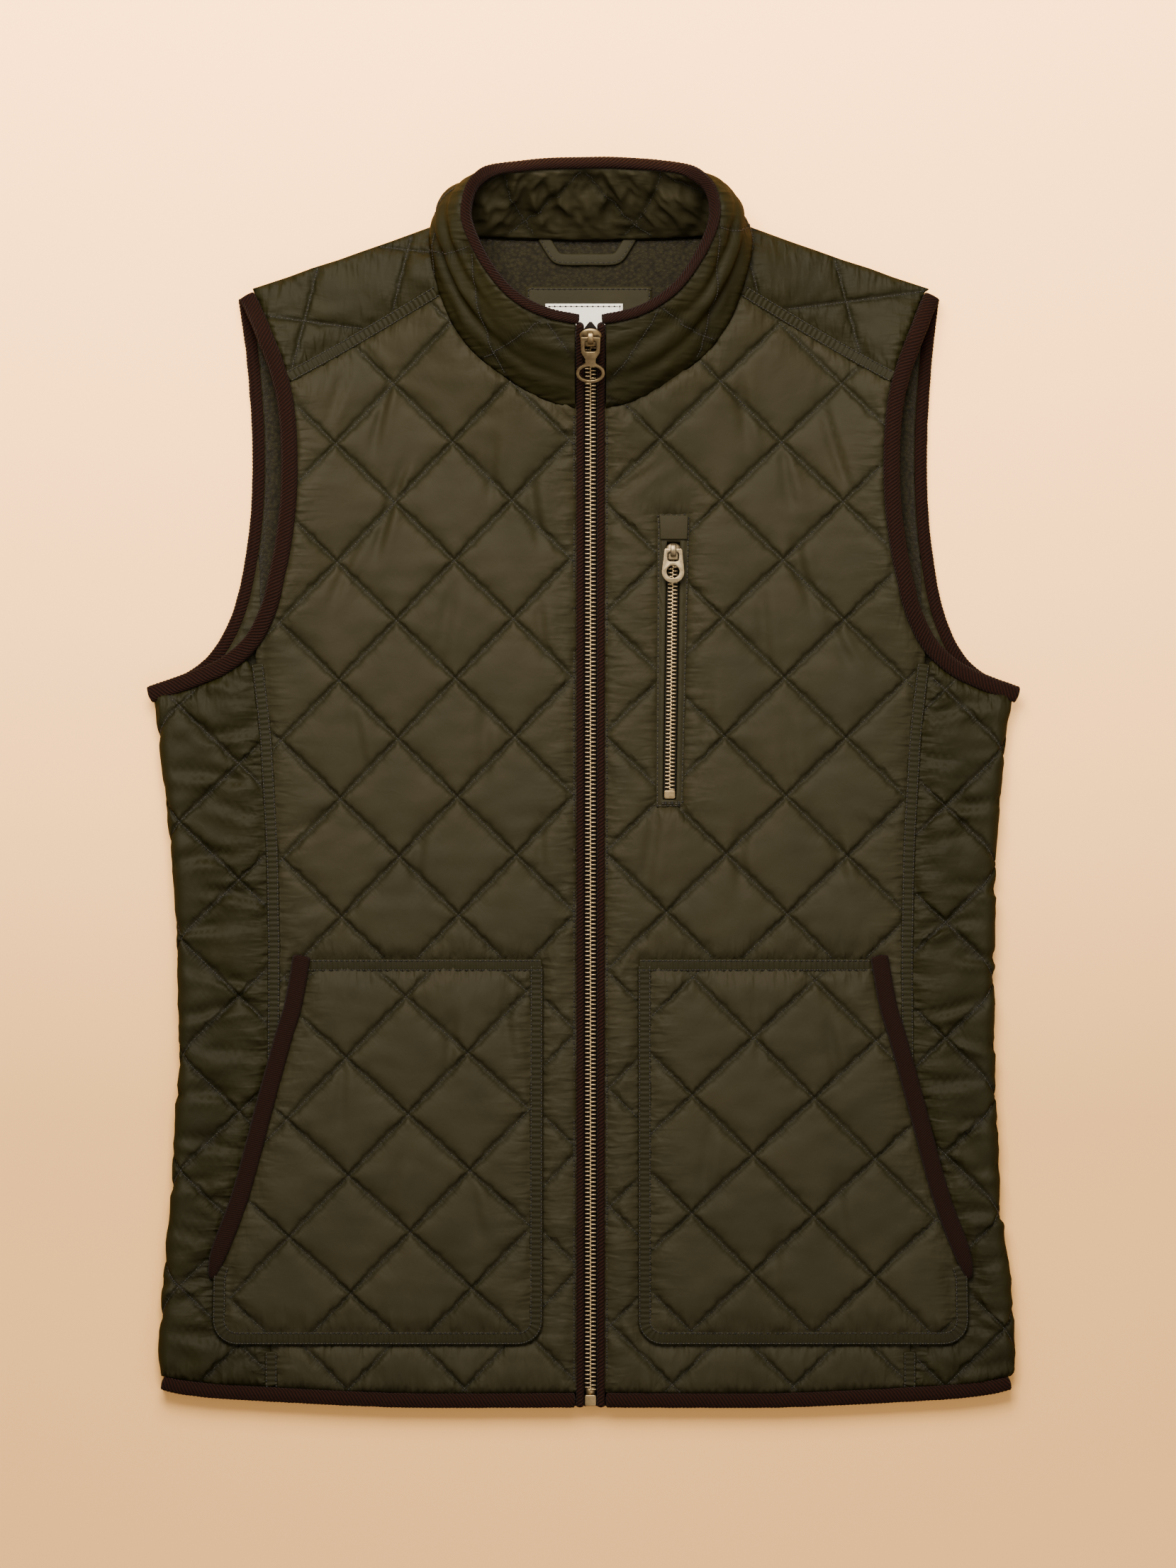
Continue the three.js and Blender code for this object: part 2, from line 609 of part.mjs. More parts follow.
function collarRing(share) {
  const heights = [0, 0.25, 0.5, 0.75, 1];
  const wall = (height, side) => {
    const { point, out } = collarPlace(share, height);
    const turns = (share * collarLength) / 36;
    const puff = pillow((turns + height * 2) / 2, (turns - height * 2) / 2) * COLLAR_PUFF;
    const edge = Math.sin(Math.PI * height) ** 0.5;
    return point.addScaledVector(out, side * (COLLAR_THICK / 2 + puff * edge));
  };
  return [...heights.map((h) => wall(h, 1)), ...heights.reverse().map((h) => wall(h, -1))];
}
const shares = Array.from({ length: COLLAR_STEPS + 1 }, (_, k) => k / COLLAR_STEPS);
piece("collar", loft(shares.map(collarRing)), materials.shell);

// Ribbed binding on the rim, over both faces of the collar.
const rimSection = [[-0.5, 0.1], [-0.5, 0.7], [-0.25, 1], [0.25, 1], [0.5, 0.7], [0.5, 0.1]];
const RIM_WIDTH = 8.0;
const RIM_THICK = 4.4;
const rimRing = (share) => {
  const { point, out, rise } = collarPlace(share, 1);
  return rimSection.map(([s, t]) =>
    point.clone().addScaledVector(out, s * RIM_WIDTH).addScaledVector(rise, SEAM + t * RIM_THICK),
  );
};
piece("collar_binding", loft(shares.map(rimRing)), materials.rib);

// Main zip: up the flat fronts, then up the slope of the collar.
const slopeLow = new THREE.Vector3(0, 602, innerHeight(frontEdge, 600));
const slopeHigh = new THREE.Vector3(0, 650.5, RIM_HEIGHT + 1.5);
const zipHeight = (y) =>
  y < slopeLow.y
    ? innerHeight(frontEdge, y)
    : THREE.MathUtils.lerp(slopeLow.z, slopeHigh.z, (y - slopeLow.y) / (slopeHigh.y - slopeLow.y));
const zipRows = [10, 300, 500, 535, 550, 565, 580, 590, 602, 626, 650.5];
const zipPath = (x, from, lift) =>
  [from, ...zipRows.slice(1)].map((y) => new THREE.Vector3(x, y, zipHeight(y) + lift));
for (const { name, sign } of sides) {
  const middle = sign * (stripInner + STRIP_WIDTH / 2);
  piece("zip_strip_" + name, band(zipPath(middle, -0.8, 0), STRIP_WIDTH, STRIP_THICK), materials.rib);
}
piece("main_zip_chain", band(zipPath(0, 8.2, 0.8), 2 * ZIP_HALF, 2.6, 0.45), materials.teeth);
const box = oval(0, 3.6, 3.5, 3.4, 12, 6);
piece("main_zip_box", plate(box, 3.6).translate(0, 0, frontBase + 0.4), materials.brass);

// Slider with a bridge that the pull tab swings on; the group's origin is the pivot.
const BRIDGE_HOLE = 1.6;
function sliderOf(halfWidth, halfLength, bodyThick) {
  const body = solidOf(plate(oval(0, -1.5, halfWidth, halfLength, 14, 3.4), bodyThick)
    .translate(0, 0, -BRIDGE_HOLE - bodyThick));
  const loopOuter = oval(0, 0.2, 4.2, BRIDGE_HOLE + 1.1, 14, 3);
  const hole = oval(0, 0.2, 2.9, BRIDGE_HOLE, 12, 3);
  const bridge = plate(loopOuter, 3.0, [hole.reverse()]).translate(0, 0, -1.5);
  bridge.rotateY(Math.PI / 2).rotateX(Math.PI / 2);
  return geometryOf(body.add(solidOf(bridge)));
}

const slope = Math.atan2(slopeHigh.z - slopeLow.z, slopeHigh.y - slopeLow.y);
const SLIDER_THICK = 2.6;
const pivotLift = STRIP_THICK + SEAM + SLIDER_THICK + BRIDGE_HOLE;
const mainPivot = new THREE.Group();
mainPivot.position.set(0, 645, zipHeight(645));
mainPivot.rotation.x = slope;
mainPivot.translateZ(pivotLift);
vest.add(mainPivot);
piece("main_zip_slider", sliderOf(6.6, 5.6, SLIDER_THICK), materials.brass, mainPivot);

// Pull tabs: a framed hole at the pivot, then a waist and a wide ring, or one round end.
const PULL_THICK = 1.6;
const arc = (cy, halfWidth, halfHeight, from, turn, steps) =>
  Array.from({ length: steps + 1 }, (_, k) => {
    const angle = from + (k / steps) * turn;
    return [halfWidth * Math.cos(angle), cy + halfHeight * Math.sin(angle)];
  });
const frameHole = (half, end) => [[-half, -1.0], [half, -1.0], [half, -end], [-half, -end]];
function pullOf(outline, holes) {
  const points = (list) => list.map(([x, y]) => new THREE.Vector2(x, y));
  return plate(points(outline), PULL_THICK, holes.map(points)).translate(0, 0, -PULL_THICK / 2);
}
const ring = { y: -23, halfWidth: 8.6, halfHeight: 6.6, rim: 1.9, gap: 2.2 };
const ringEdge = arc(ring.y, ring.halfWidth, ring.halfHeight, ring.gap, 3 * Math.PI - 2 * ring.gap, 14);
const ringHole = arc(ring.y, ring.halfWidth - ring.rim, ring.halfHeight - ring.rim, 0, 1.86 * Math.PI, 13);
const longPull = [
  [6, 1.1], [-6, 1.1], [-5.6, -10], [-3, -14], [-3, -16], ...ringEdge, [3, -16], [3, -14], [5.6, -10],
];
piece("main_zip_pull", pullOf(longPull, [frameHole(3.5, 8.6), ringHole]), materials.brass, mainPivot);

// Chest pocket zip.
const tapeTop = chestFloor + 1.0;
const lean = Math.atan2(-chest.drop, chest.top - chest.bottom);
const atHeight = (y) => chest.x + (chest.drop * (chest.top - y)) / (chest.top - chest.bottom);
const fieldSolid = prism(chestField, chestFloor + SEAM, tapeTop + 2.6);
const channel = [
  [atHeight(366) - 4, 366], [atHeight(366) + 4, 366], [atHeight(521) + 4, 521], [atHeight(521) - 4, 521],
];
const frameSolid = fieldSolid.subtract(prism(channel, tapeTop + 0.4, 60));
piece("chest_pocket_frame", geometryOf(frameSolid), materials.shell);
const chestGroup = new THREE.Group();
chestGroup.position.set(atHeight(516), 516, tapeTop + 7.0);
chestGroup.rotation.z = -lean;
vest.add(chestGroup);
const chain = [372.5, 515].map((y) => new THREE.Vector3(atHeight(y), y, tapeTop + 0.7));
piece("chest_zip_chain", band(chain, 7.0, 1.8, 0.45), materials.teeth);
const stop = oval(atHeight(369), 369, 3.4, 2.6, 12, 6);
piece("chest_zip_stop", plate(stop, 2.4).translate(0, 0, tapeTop + 0.7), materials.brass);
piece("chest_zip_slider", sliderOf(4.6, 4.6, 2.2), materials.brass, chestGroup);
const shortPull = [[5.6, 1.1], [-5.6, 1.1], ...arc(-13, 6.4, 6.4, Math.PI, Math.PI, 10)];
const smallHoles = [frameHole(3.1, 6.2), arc(-13, 3, 3, 0, 1.83 * Math.PI, 11)];
piece("chest_zip_pull", pullOf(shortPull, smallHoles), materials.brass, chestGroup);
const tab = [[41.6, 522.6], [58.8, 522.6], [59.2, 537.4], [41.4, 537.4]];
piece("chest_pocket_tab", geometryOf(prism(tab, tapeTop + 2.9, tapeTop + 4.5)), materials.shell);

// The origin is the middle of the bounding box on the floor.
vest.updateMatrixWorld(true);
const bounds = new THREE.Box3().setFromObject(vest);
const middle = bounds.getCenter(new THREE.Vector3());
vest.position.set(-middle.x, -middle.y, -bounds.min.z);

export default vest;
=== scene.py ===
"""Looks of a quilted zip vest that lies face up on a pale floor.

Lengths are millimetres on the cutting table: x from the zip, y up from the hem and z up from the
floor. The function world() brings a place on the table into the frame of the CAD model, in metres.
"""

import logging
import math
from collections.abc import Callable, Iterable, Iterator, Sequence
from dataclasses import dataclass, field
from enum import Enum

import bmesh
import bpy
import numpy as np
from mathutils import Matrix, Vector, noise

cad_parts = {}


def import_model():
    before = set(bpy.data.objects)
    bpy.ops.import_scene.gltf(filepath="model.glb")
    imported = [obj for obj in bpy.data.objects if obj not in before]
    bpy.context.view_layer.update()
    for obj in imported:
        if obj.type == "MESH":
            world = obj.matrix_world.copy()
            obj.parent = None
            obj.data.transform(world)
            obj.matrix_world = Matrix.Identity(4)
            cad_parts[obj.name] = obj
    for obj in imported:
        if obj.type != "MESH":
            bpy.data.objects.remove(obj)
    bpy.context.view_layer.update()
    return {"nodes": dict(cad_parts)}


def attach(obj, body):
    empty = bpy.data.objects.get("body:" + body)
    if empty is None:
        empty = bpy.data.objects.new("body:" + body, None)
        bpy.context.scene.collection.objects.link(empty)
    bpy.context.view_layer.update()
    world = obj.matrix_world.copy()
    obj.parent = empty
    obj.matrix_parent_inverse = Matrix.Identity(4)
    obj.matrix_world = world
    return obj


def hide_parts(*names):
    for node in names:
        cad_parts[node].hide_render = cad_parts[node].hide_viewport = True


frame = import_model()

log = logging.getLogger("vest")

Point = tuple[float, float]
Place = Callable[[float, float, float], Vector]
Tree = bpy.types.NodeTree
Node = bpy.types.Node
Socket = bpy.types.NodeSocket
Piece = bpy.types.Object
Mesh = bmesh.types.BMesh

MM = 0.001
SHIFT = Vector((3.468, -374.036, 0.0))
SEAM = 0.3
WALL = 3.0
BACK = 5.0
LINING_BASE = 5.3
FRONT_BASE = 7.6
STITCH_LENGTH = 2.0
STITCH_PITCH = 3.2
DIMPLE_SHADE_SIZE = (1.7, 1.15, 0.4)
SEAM_STAGGER = 37.0
NECK_LIFT = 10.0
ARM_LIFT = 8.0


class Slot(Enum):
    """Material slots of the record."""

    SHELL = "shell"
    FLEECE = "fleece"
    RIB = "rib"
    BRASS = "brass"
    TEETH = "teeth"
    LABEL = "label"


class Side(Enum):
    """The wearer's sides, with the sign of x on each."""

    RIGHT = -1
    LEFT = 1

    @property
    def label(self) -> str:
        """Name of the side as node names spell it."""
        return self.name.lower()


def world(place: Vector) -> Vector:
    """Place on the cutting table, in millimetres, as a place in the frame in metres."""
    return (place + SHIFT) * MM


def smooth(low: float, high: float, value: float) -> float:
    """Smooth step from 0 at low to 1 at high."""
    share = min(1.0, max(0.0, (value - low) / (high - low)))
    return share * share * (3 - 2 * share)


def mix(low: float, high: float, share: float) -> float:
    """Value between two others."""
    return low + (high - low) * share


# Outlines along one half of the vest, as pairs of distance from the zip and height.
OUTLINES: dict[str, list[Point]] = {
    "armhole": [
        (207, 670), (203, 662), (196.4, 646), (189.3, 627.8), (184.3, 609.5), (181.8, 589.5),
        (181.1, 568), (181.8, 545), (184.8, 520), (189, 499), (193.8, 480.5), (204, 460.7),
        (220.5, 446), (240, 437), (255, 431.5),
    ],
    "back_armhole": [
        (212, 669), (210, 655), (207.5, 635), (205.6, 612), (204.2, 588), (204, 560), (205.2, 535),
        (208, 512), (212.5, 488), (219, 469), (228.5, 453), (241, 442.5), (256, 435.5),
    ],
    "neck": [
        (98.3, 710.5), (95.4, 688), (91, 669), (83.5, 650.5), (71, 633.5), (52.5, 619),
        (35.5, 608.5), (20, 602.5), (9.3, 600.2),
    ],
    "shoulder": [
        (98.5, 711), (121, 702.3), (137, 696.8), (152, 691.4), (168, 686.4), (182.5, 681), (205, 674.8),
    ],
    "yoke_seam": [(180.6, 617.2), (91.2, 668.5)],
    "side_seam": [
        (201.5, 453), (196.5, 410), (194.5, 380), (192, 334), (191.3, 293), (191, 253),
        (192.5, 37), (192.3, 12),
    ],
    "hem": [
        (9, 3.7), (60, 3.5), (110, 3.6), (152, 5.1), (188, 7), (225, 9.3), (246, 12), (256, 14.8),
    ],
    "pocket_slant": [
        (174.4, 268.6), (179.2, 242), (185.2, 222), (196.5, 181), (210.5, 129), (224.4, 91.5),
        (228.5, 77.5),
    ],
}

# Height of the side fold, and its reach on the wearer's right and left.
SIDE_FOLD: list[tuple[float, float, float]] = [
    (450, 269, 262), (412, 263, 253), (357, 257, 247.5), (314, 252.5, 245.5), (250, 250, 245),
    (207, 249.5, 245), (164, 252.5, 247), (122, 255, 248.5), (79, 259, 254.5), (36, 262, 258),
    (0, 262, 256),
]


@dataclass(frozen=True)
class Quilt:
    """Lattice of stitch lines: one crossing, and the two sides of a diamond."""

    x: float
    y: float
    a: Point
    b: Point

    def at(self, u: float, v: float) -> Point:
        """Place of a lattice coordinate."""
        return self.x + u * self.a[0] + v * self.b[0], self.y + u * self.a[1] + v * self.b[1]

    def cell(self, x: float, y: float) -> Point:
        """Lattice coordinate of a place."""
        turn = self.a[0] * self.b[1] - self.a[1] * self.b[0]
        px, py = x - self.x, y - self.y
        return (px * self.b[1] - py * self.b[0]) / turn, (py * self.a[0] - px * self.a[1]) / turn


QUILTS: dict[str, Quilt] = {
    "front_right": Quilt(-118.8, 616.3, (35.7, -35.1), (-34.8, -36.2)),
    "front_left": Quilt(78.2, 617.6, (37.0, -36.2), (-36.1, -35.0)),
    "pocket_right": Quilt(-111.2, 247.0, (37.2, -33.9), (-35.9, -37.0)),
    "pocket_left": Quilt(61.7, 258.8, (36.6, -36.5), (-37.0, -34.6)),
    "side_right": Quilt(212, 387.5, (36, -35), (-36, -35)),
    "side_left": Quilt(214, 432, (36, -35), (-36, -35)),
    "yoke_right": Quilt(-172.5, 654.4, (-12.2, -49.3), (50.3, -6.6)),
    "yoke_left": Quilt(154.1, 666.1, (13.2, -49), (50.3, 6.8)),
    "back": Quilt(0, 400, (36, -35), (-36, -35)),
}


def catmull(points: Sequence[Sequence[float]], k: int, share: float) -> list[float]:
    """Place on a smooth curve between its points k and k + 1."""
    last = len(points) - 1
    p0, p1, p2, p3 = (points[min(max(i, 0), last)] for i in (k - 1, k, k + 1, k + 2))
    made = []
    for q0, q1, q2, q3 in zip(p0, p1, p2, p3):
        v0, v1 = (q2 - q0) / 2, (q3 - q1) / 2
        cubic = (2 * q1 - 2 * q2 + v0 + v1) * share**3
        made.append(cubic + (3 * q2 - 3 * q1 - 2 * v0 - v1) * share**2 + v0 * share + q1)
    return made


def spaced(points: Sequence[Sequence[float]], steps: int) -> list[tuple[float, ...]]:
    """Points at even distances along a polyline."""
    places = np.array(points, dtype=float)
    lengths = np.concatenate(([0], np.cumsum(np.linalg.norm(np.diff(places, axis=0), axis=1))))
    wanted = np.linspace(0, lengths[-1], steps + 1)
    columns = [np.interp(wanted, lengths, places[:, k]) for k in range(places.shape[1])]
    return [tuple(map(float, row)) for row in zip(*columns)]


def curve(points: Sequence[Sequence[float]], steps: int) -> list[tuple[float, ...]]:
    """Even points on a smooth curve through the given ones."""
    dense = [catmull(points, k, s / 24) for k in range(len(points) - 1) for s in range(24)]
    return spaced([*dense, points[-1]], steps)


def reach_at(rows: Sequence[tuple[float, ...]], y: float, column: int = 1) -> float:
    """Reads a column of a table whose first column runs downwards."""
    k = 1
    while k < len(rows) - 1 and rows[k][0] > y:
        k += 1
    share = (y - rows[k - 1][0]) / (rows[k][0] - rows[k - 1][0])
    return mix(rows[k - 1][column], rows[k][column], min(1.0, max(0.0, share)))


def length_of(path: Sequence[Vector]) -> float:
    """Length of a path."""
    return sum((b - a).length for a, b in zip(path, path[1:]))


def evened(path: Sequence[Vector], steps: int) -> list[Vector]:
    """Path in even steps."""
    return [Vector(p) for p in spaced([tuple(p) for p in path], steps)]


def squared(angle: float, power: float) -> Point:
    """Cosine and sine of an angle, each to a power with its sign kept. Below 1 the ring is squarer."""
    c, s = math.cos(angle), math.sin(angle)
    return math.copysign(abs(c) ** power, c), math.copysign(abs(s) ** power, s)


def offset(points: Sequence[Point], distance: float) -> list[Point]:
    """Outline moved to the right of its own direction."""
    made = []
    for k, (x, y) in enumerate(points):
        (bx, by), (ax, ay) = points[max(k - 1, 0)], points[min(k + 1, len(points) - 1)]
        length = math.hypot(ax - bx, ay - by)
        made.append((x + (ay - by) / length * distance, y - (ax - bx) / length * distance))
    return made


def fold_reach(y: float, side: Side) -> float:
    """Reach of the side fold at a height."""
    return reach_at(SIDE_FOLD, y, 1 if side is Side.RIGHT else 2)


def sided(points: Sequence[Point], side: Side) -> list[Point]:
    """Outline whose outer stretch follows the wider or narrower fold of one side."""
    made = []
    for x, y in points:
        wider = (fold_reach(y, Side.RIGHT) - fold_reach(y, Side.LEFT)) / 2
        made.append((x + (wider if side is Side.RIGHT else -wider) * smooth(190, 250, x), y))
    return made


def mirrored(points: Sequence[Point], side: Side) -> list[Point]:
    """Half outline on one side of the zip."""
    return [(x * side.value, y) for x, y in points]


def armhole_middle(side: Side, steps: int = 60) -> list[Point]:
    """Middle of the binding on a front armhole."""
    return sided(curve(OUTLINES["armhole"], steps), side)


def armhole_edge(side: Side, reach: float = 5.3) -> list[Point]:
    """Edge of the cloth beside the binding of a front armhole."""
    return offset(armhole_middle(side), reach)


def back_middle(side: Side, steps: int = 50) -> list[Point]:
    """Middle of the binding on a back armhole."""
    return offset(sided(curve(OUTLINES["back_armhole"], steps), side), 4.2)


ARMHOLE_ROWS = [(y, x) for x, y in armhole_edge(Side.RIGHT)]
SHOULDER_ROWS = [(-x, y) for x, y in OUTLINES["shoulder"]]
HEM_ROWS = [(-x, y) for x, y in offset(curve(OUTLINES["hem"], 40), -4.7)]


def hem_at(x: float) -> float:
    """Height of the cloth's lower edge beside the hem binding."""
    return reach_at(HEM_ROWS, -abs(x))


def inner_height(x: float, y: float) -> float:
    """Height of the inner face of a front or yoke above the floor."""
    across = abs(x)
    ring = (math.hypot(across / 97, (y - 702) / 102) - 1) * 100
    fold = reach_at(SHOULDER_ROWS, -across)
    neck = max(0.0, 1 - max(ring, 0) / 70) ** 2 * smooth(-2, 30, fold - y)
    inside = reach_at(ARMHOLE_ROWS, y) - across
    arm = max(0.0, 1 - max(inside, 0) / 45) ** 2
    along = smooth(440, 500, y) * (1 - smooth(640, 672, y))
    return FRONT_BASE + NECK_LIFT * neck + ARM_LIFT * arm * along


def nearest(points: np.ndarray, line: Sequence[Point]) -> tuple[np.ndarray, ...]:
    """Measures points against a polyline.

    Args:
        points: Places, one row each.
        line: The polyline.

    Returns:
        Distance of each point from the line, the length along it, the nearest place on it, and how
        level the line runs there, from 0 for upright to 1.
    """
    gaps = np.full(len(points), np.inf)
    along = np.zeros(len(points))
    level = np.zeros(len(points))
    feet = np.zeros_like(points)
    start = 0.0
    for first, second in zip(line, line[1:]):
        origin = np.array(first)
        step = np.array(second) - origin
        length = float(np.hypot(*step))
        if length < 1e-6:
            continue
        share = np.clip((points - origin) @ step / length**2, 0, 1)
        foot = origin + share[:, None] * step
        gap = np.hypot(*(points - foot).T)
        closer = gap < gaps
        gaps[closer] = gap[closer]
        along[closer] = (start + share * length)[closer]
        feet[closer] = foot[closer]
        level[closer] = abs(step[0]) / length
        start += length
    return gaps, along, feet, level


def inside(points: np.ndarray, outline: Sequence[Point]) -> np.ndarray:
    """Tells which points lie inside a closed outline."""
    within = np.zeros(len(points), dtype=bool)
    for (ax, ay), (bx, by) in zip(outline, [*outline[1:], outline[0]]):
        if ay == by:
            continue
        spans = (ay > points[:, 1]) != (by > points[:, 1])
        crosses = points[:, 0] < ax + (points[:, 1] - ay) * (bx - ax) / (by - ay)
        within ^= spans & crosses
    return within


def clockwise(points: Sequence[Point]) -> list[Point]:
    """Closed outline turned so that its outside lies to the right of its direction."""
    area = sum(x * ny - nx * y for (x, y), (nx, ny) in zip(points, [*points[1:], points[0]]))
    return list(points) if area > 0 else list(reversed(points))


def grown(points: Sequence[Point], distance: float) -> list[Point]:
    """Closed outline moved outwards."""
    turned = clockwise(points)
    looped = offset([turned[-1], *turned, turned[0]], distance)
    return looped[1:-1]


# Shading: every finish is one class that builds its own node tree.
def linear(hex_colour: str) -> tuple[float, float, float, float]:
    """Linear colour of an sRGB hex colour."""
    channels = (int(hex_colour[k : k + 2], 16) / 255 for k in (1, 3, 5))
    made = [c / 12.92 if c <= 0.04045 else ((c + 0.055) / 1.055) ** 2.4 for c in channels]
    return made[0], made[1], made[2], 1.0


def add(tree: Tree, kind: str, inputs: dict | None = None, **properties: object) -> Node:
    """Adds one shader node.

    Args:
        tree: The node tree.
        kind: Name of the node type after ShaderNode.
        inputs: Values or output sockets for the named inputs.
        properties: Settings of the node itself.

    Returns:
        The node.
    """
    made = tree.nodes.new("ShaderNode" + kind)
    for name, value in properties.items():
        setattr(made, name, value)
    for name, value in (inputs or {}).items():
        if isinstance(value, Socket):
            tree.links.new(value, made.inputs[name])
        else:
            made.inputs[name].default_value = value
    return made


def maths(tree: Tree, operation: str, *values: object) -> Socket:
    """Output of a math node whose inputs are values or sockets."""
    made = add(tree, "Math", dict(enumerate(values)), operation=operation)
    return made.outputs[0]


@dataclass(frozen=True)
class Finish:
    """A finish with a colour, a roughness and a slot of the record."""

    name: str
    slot: Slot
    colour: str
    roughness: float

    def material(self) -> bpy.types.Material:
        """Blender material of the finish, made once."""
        known = bpy.data.materials.get(self.name)
        if known:
            return known
        made = bpy.data.materials.new(self.name)
        made.use_nodes = True
        tree = made.node_tree
        shader = tree.nodes["Principled BSDF"]
        shader.inputs["Base Color"].default_value = linear(self.colour)
        shader.inputs["Roughness"].default_value = self.roughness
        self.dress(tree, shader)
        return made

    def dress(self, tree: Tree, shader: Node) -> None:
        """Adds the pattern of the finish. A plain finish has none."""

    def place(self, tree: Tree) -> Socket:
        """Object coordinates, in metres."""
        return add(tree, "TexCoord").outputs["Object"]

    def blend(self, tree: Tree, shader: Node, share: Socket, dark: str, light: str) -> Socket:
        """Colours the surface between two sRGB colours, by a share of 0 to 1."""
        made = add(tree, "Mix", {"A": linear(dark), "B": linear(light)}, data_type="RGBA")
        tree.links.new(share, made.inputs["Factor"])
        tree.links.new(made.outputs[2], shader.inputs["Base Color"])
        return made.outputs[2]

    def gloss(self, tree: Tree, shader: Node, level: float) -> None:
        """Low gloss that fades towards the rims, as on loose fibres."""
        facing = add(tree, "LayerWeight", {"Blend": 0.5}).outputs["Facing"]
        fade = maths(tree, "MULTIPLY_ADD", facing, -level, level)
        tree.links.new(fade, shader.inputs["Specular IOR Level"])

    def bump(self, tree: Tree, shader: Node, height: object, depth: float) -> None:
        """Raises the surface by a height of 0 to 1, to a depth in millimetres."""
        made = add(tree, "Bump", {"Height": height, "Distance": depth * MM, "Strength": 1.0})
        tree.links.new(made.outputs["Normal"], shader.inputs["Normal"])


# Length and spacing of a gather, its seed, and the distance in millimetres over which gathers fade.
LATTICE_GATHERS = ((0.14, 0.034), 50.0, 3.2)
SEAM_GATHERS = ((0.012, 0.0036), 1.0, 8.0)


@dataclass(frozen=True)
class Nylon(Finish):
    """Satin nylon: soft broad gloss, with painted warm light on the flats and painted green shade beside the
    stitch lines.
    """

    # Colour of the painted light on the flats.
    cast: str = "#232012"
    pucker: float = 0.5

    def dress(self, tree: Tree, shader: Node) -> None:
        """Cloth in two tones of painted light and shade, with gathers, a crinkle and its weave."""
        place = self.place(tree)
        cells = add(tree, "SeparateXYZ", {"Vector": add(tree, "UVMap", uv_map="quilt").outputs[0]})
        seams = add(tree, "SeparateXYZ", {"Vector": add(tree, "UVMap", uv_map="seam").outputs[0]})
        spots = add(tree, "SeparateXYZ", {"Vector": place})
        gaps = [maths(tree, "MULTIPLY", maths(tree, "PINGPONG", cells.outputs[k], 0.5), 50.0) for k in (0, 1)]
        # Painted light and shade: the cloth is painted lighter and warmer from 4 mm off the lines, as lit
        # flats, and darker and greener beside them, as shade in the valleys; the uneven patches are random
        # tone.
        flat = add(
            tree, "MapRange", {"Value": maths(tree, "MINIMUM", *gaps), "From Min": -0.5, "From Max": 4.0},
            interpolation_type="SMOOTHSTEP",
        )
        patches = add(tree, "TexNoise", {"Vector": place, "Scale": 28.0, "Detail": 3.0})
        share = maths(tree, "MULTIPLY", flat.outputs[0], maths(tree, "ADD", patches.outputs["Fac"], 0.25))
        self.blend(tree, shader, share, self.colour, self.cast)
        self.gloss(tree, shader, 0.1)
        # Gathers stand square to each stitch line, 2 to 4 mm apart, and die out within 8 mm.
        u, v, x, y = *cells.outputs[:2], *spots.outputs[:2]
        first = self.gathers(tree, u, v, gaps[0], *LATTICE_GATHERS)
        second = self.gathers(tree, v, u, gaps[1], *LATTICE_GATHERS)
        total = maths(tree, "ADD", first, second)
        slant, room = seams.outputs[:2]
        level = maths(tree, "MULTIPLY", self.gathers(tree, y, x, room, *SEAM_GATHERS), slant)
        upright = self.gathers(tree, x, y, room, *SEAM_GATHERS)
        upright = maths(tree, "MULTIPLY", upright, maths(tree, "SUBTRACT", 1.0, slant))
        beside = maths(tree, "ADD", upright, level)
        total = maths(tree, "MULTIPLY_ADD", beside, 4.4, total)
        # A loose crinkle about 7 mm wide keeps the flats from looking moulded.
        crinkle = add(tree, "TexNoise", {"Vector": place, "Scale": 130.0, "Detail": 2.0, "Distortion": 0.8})
        total = maths(tree, "MULTIPLY_ADD", crinkle.outputs["Fac"], 0.35, total)
        # The weave itself is 0.3 mm; at 0.9 mm it just shows as a dry grain.
        weave = add(tree, "TexNoise", {"Vector": place, "Scale": 1100.0, "Detail": 1.0})
        total = maths(tree, "MULTIPLY_ADD", weave.outputs["Fac"], 0.05, total)
        self.bump(tree, shader, total, self.pucker)

    @staticmethod
    def gathers(
        tree: Tree, across: Socket, along: Socket, gap: Socket, size: Point, seed: float, reach: float,
    ) -> Socket:
        """Uneven gathers beside a line.

        Args:
            tree: The node tree.
            across: Coordinate across the line.
            along: Coordinate along it.
            gap: Distance from the line, in millimetres.
            size: Length and spacing of a gather, in the unit of the coordinates.
            seed: Another number gives other gathers.
            reach: Distance over which they fade, in millimetres.

        Returns:
            Height, about 0 in the mean.
        """
        x, y = maths(tree, "DIVIDE", across, size[0]), maths(tree, "DIVIDE", along, size[1])
        where = add(tree, "CombineXYZ", {"X": x, "Y": y, "Z": seed}).outputs[0]
        wave = add(tree, "TexNoise", {"Vector": where, "Scale": 1.0, "Detail": 0.5, "Distortion": 0.4})
        fade = maths(tree, "POWER", 2.718, maths(tree, "DIVIDE", gap, -reach))
        return maths(tree, "MULTIPLY", maths(tree, "SUBTRACT", wave.outputs["Fac"], 0.5), fade)


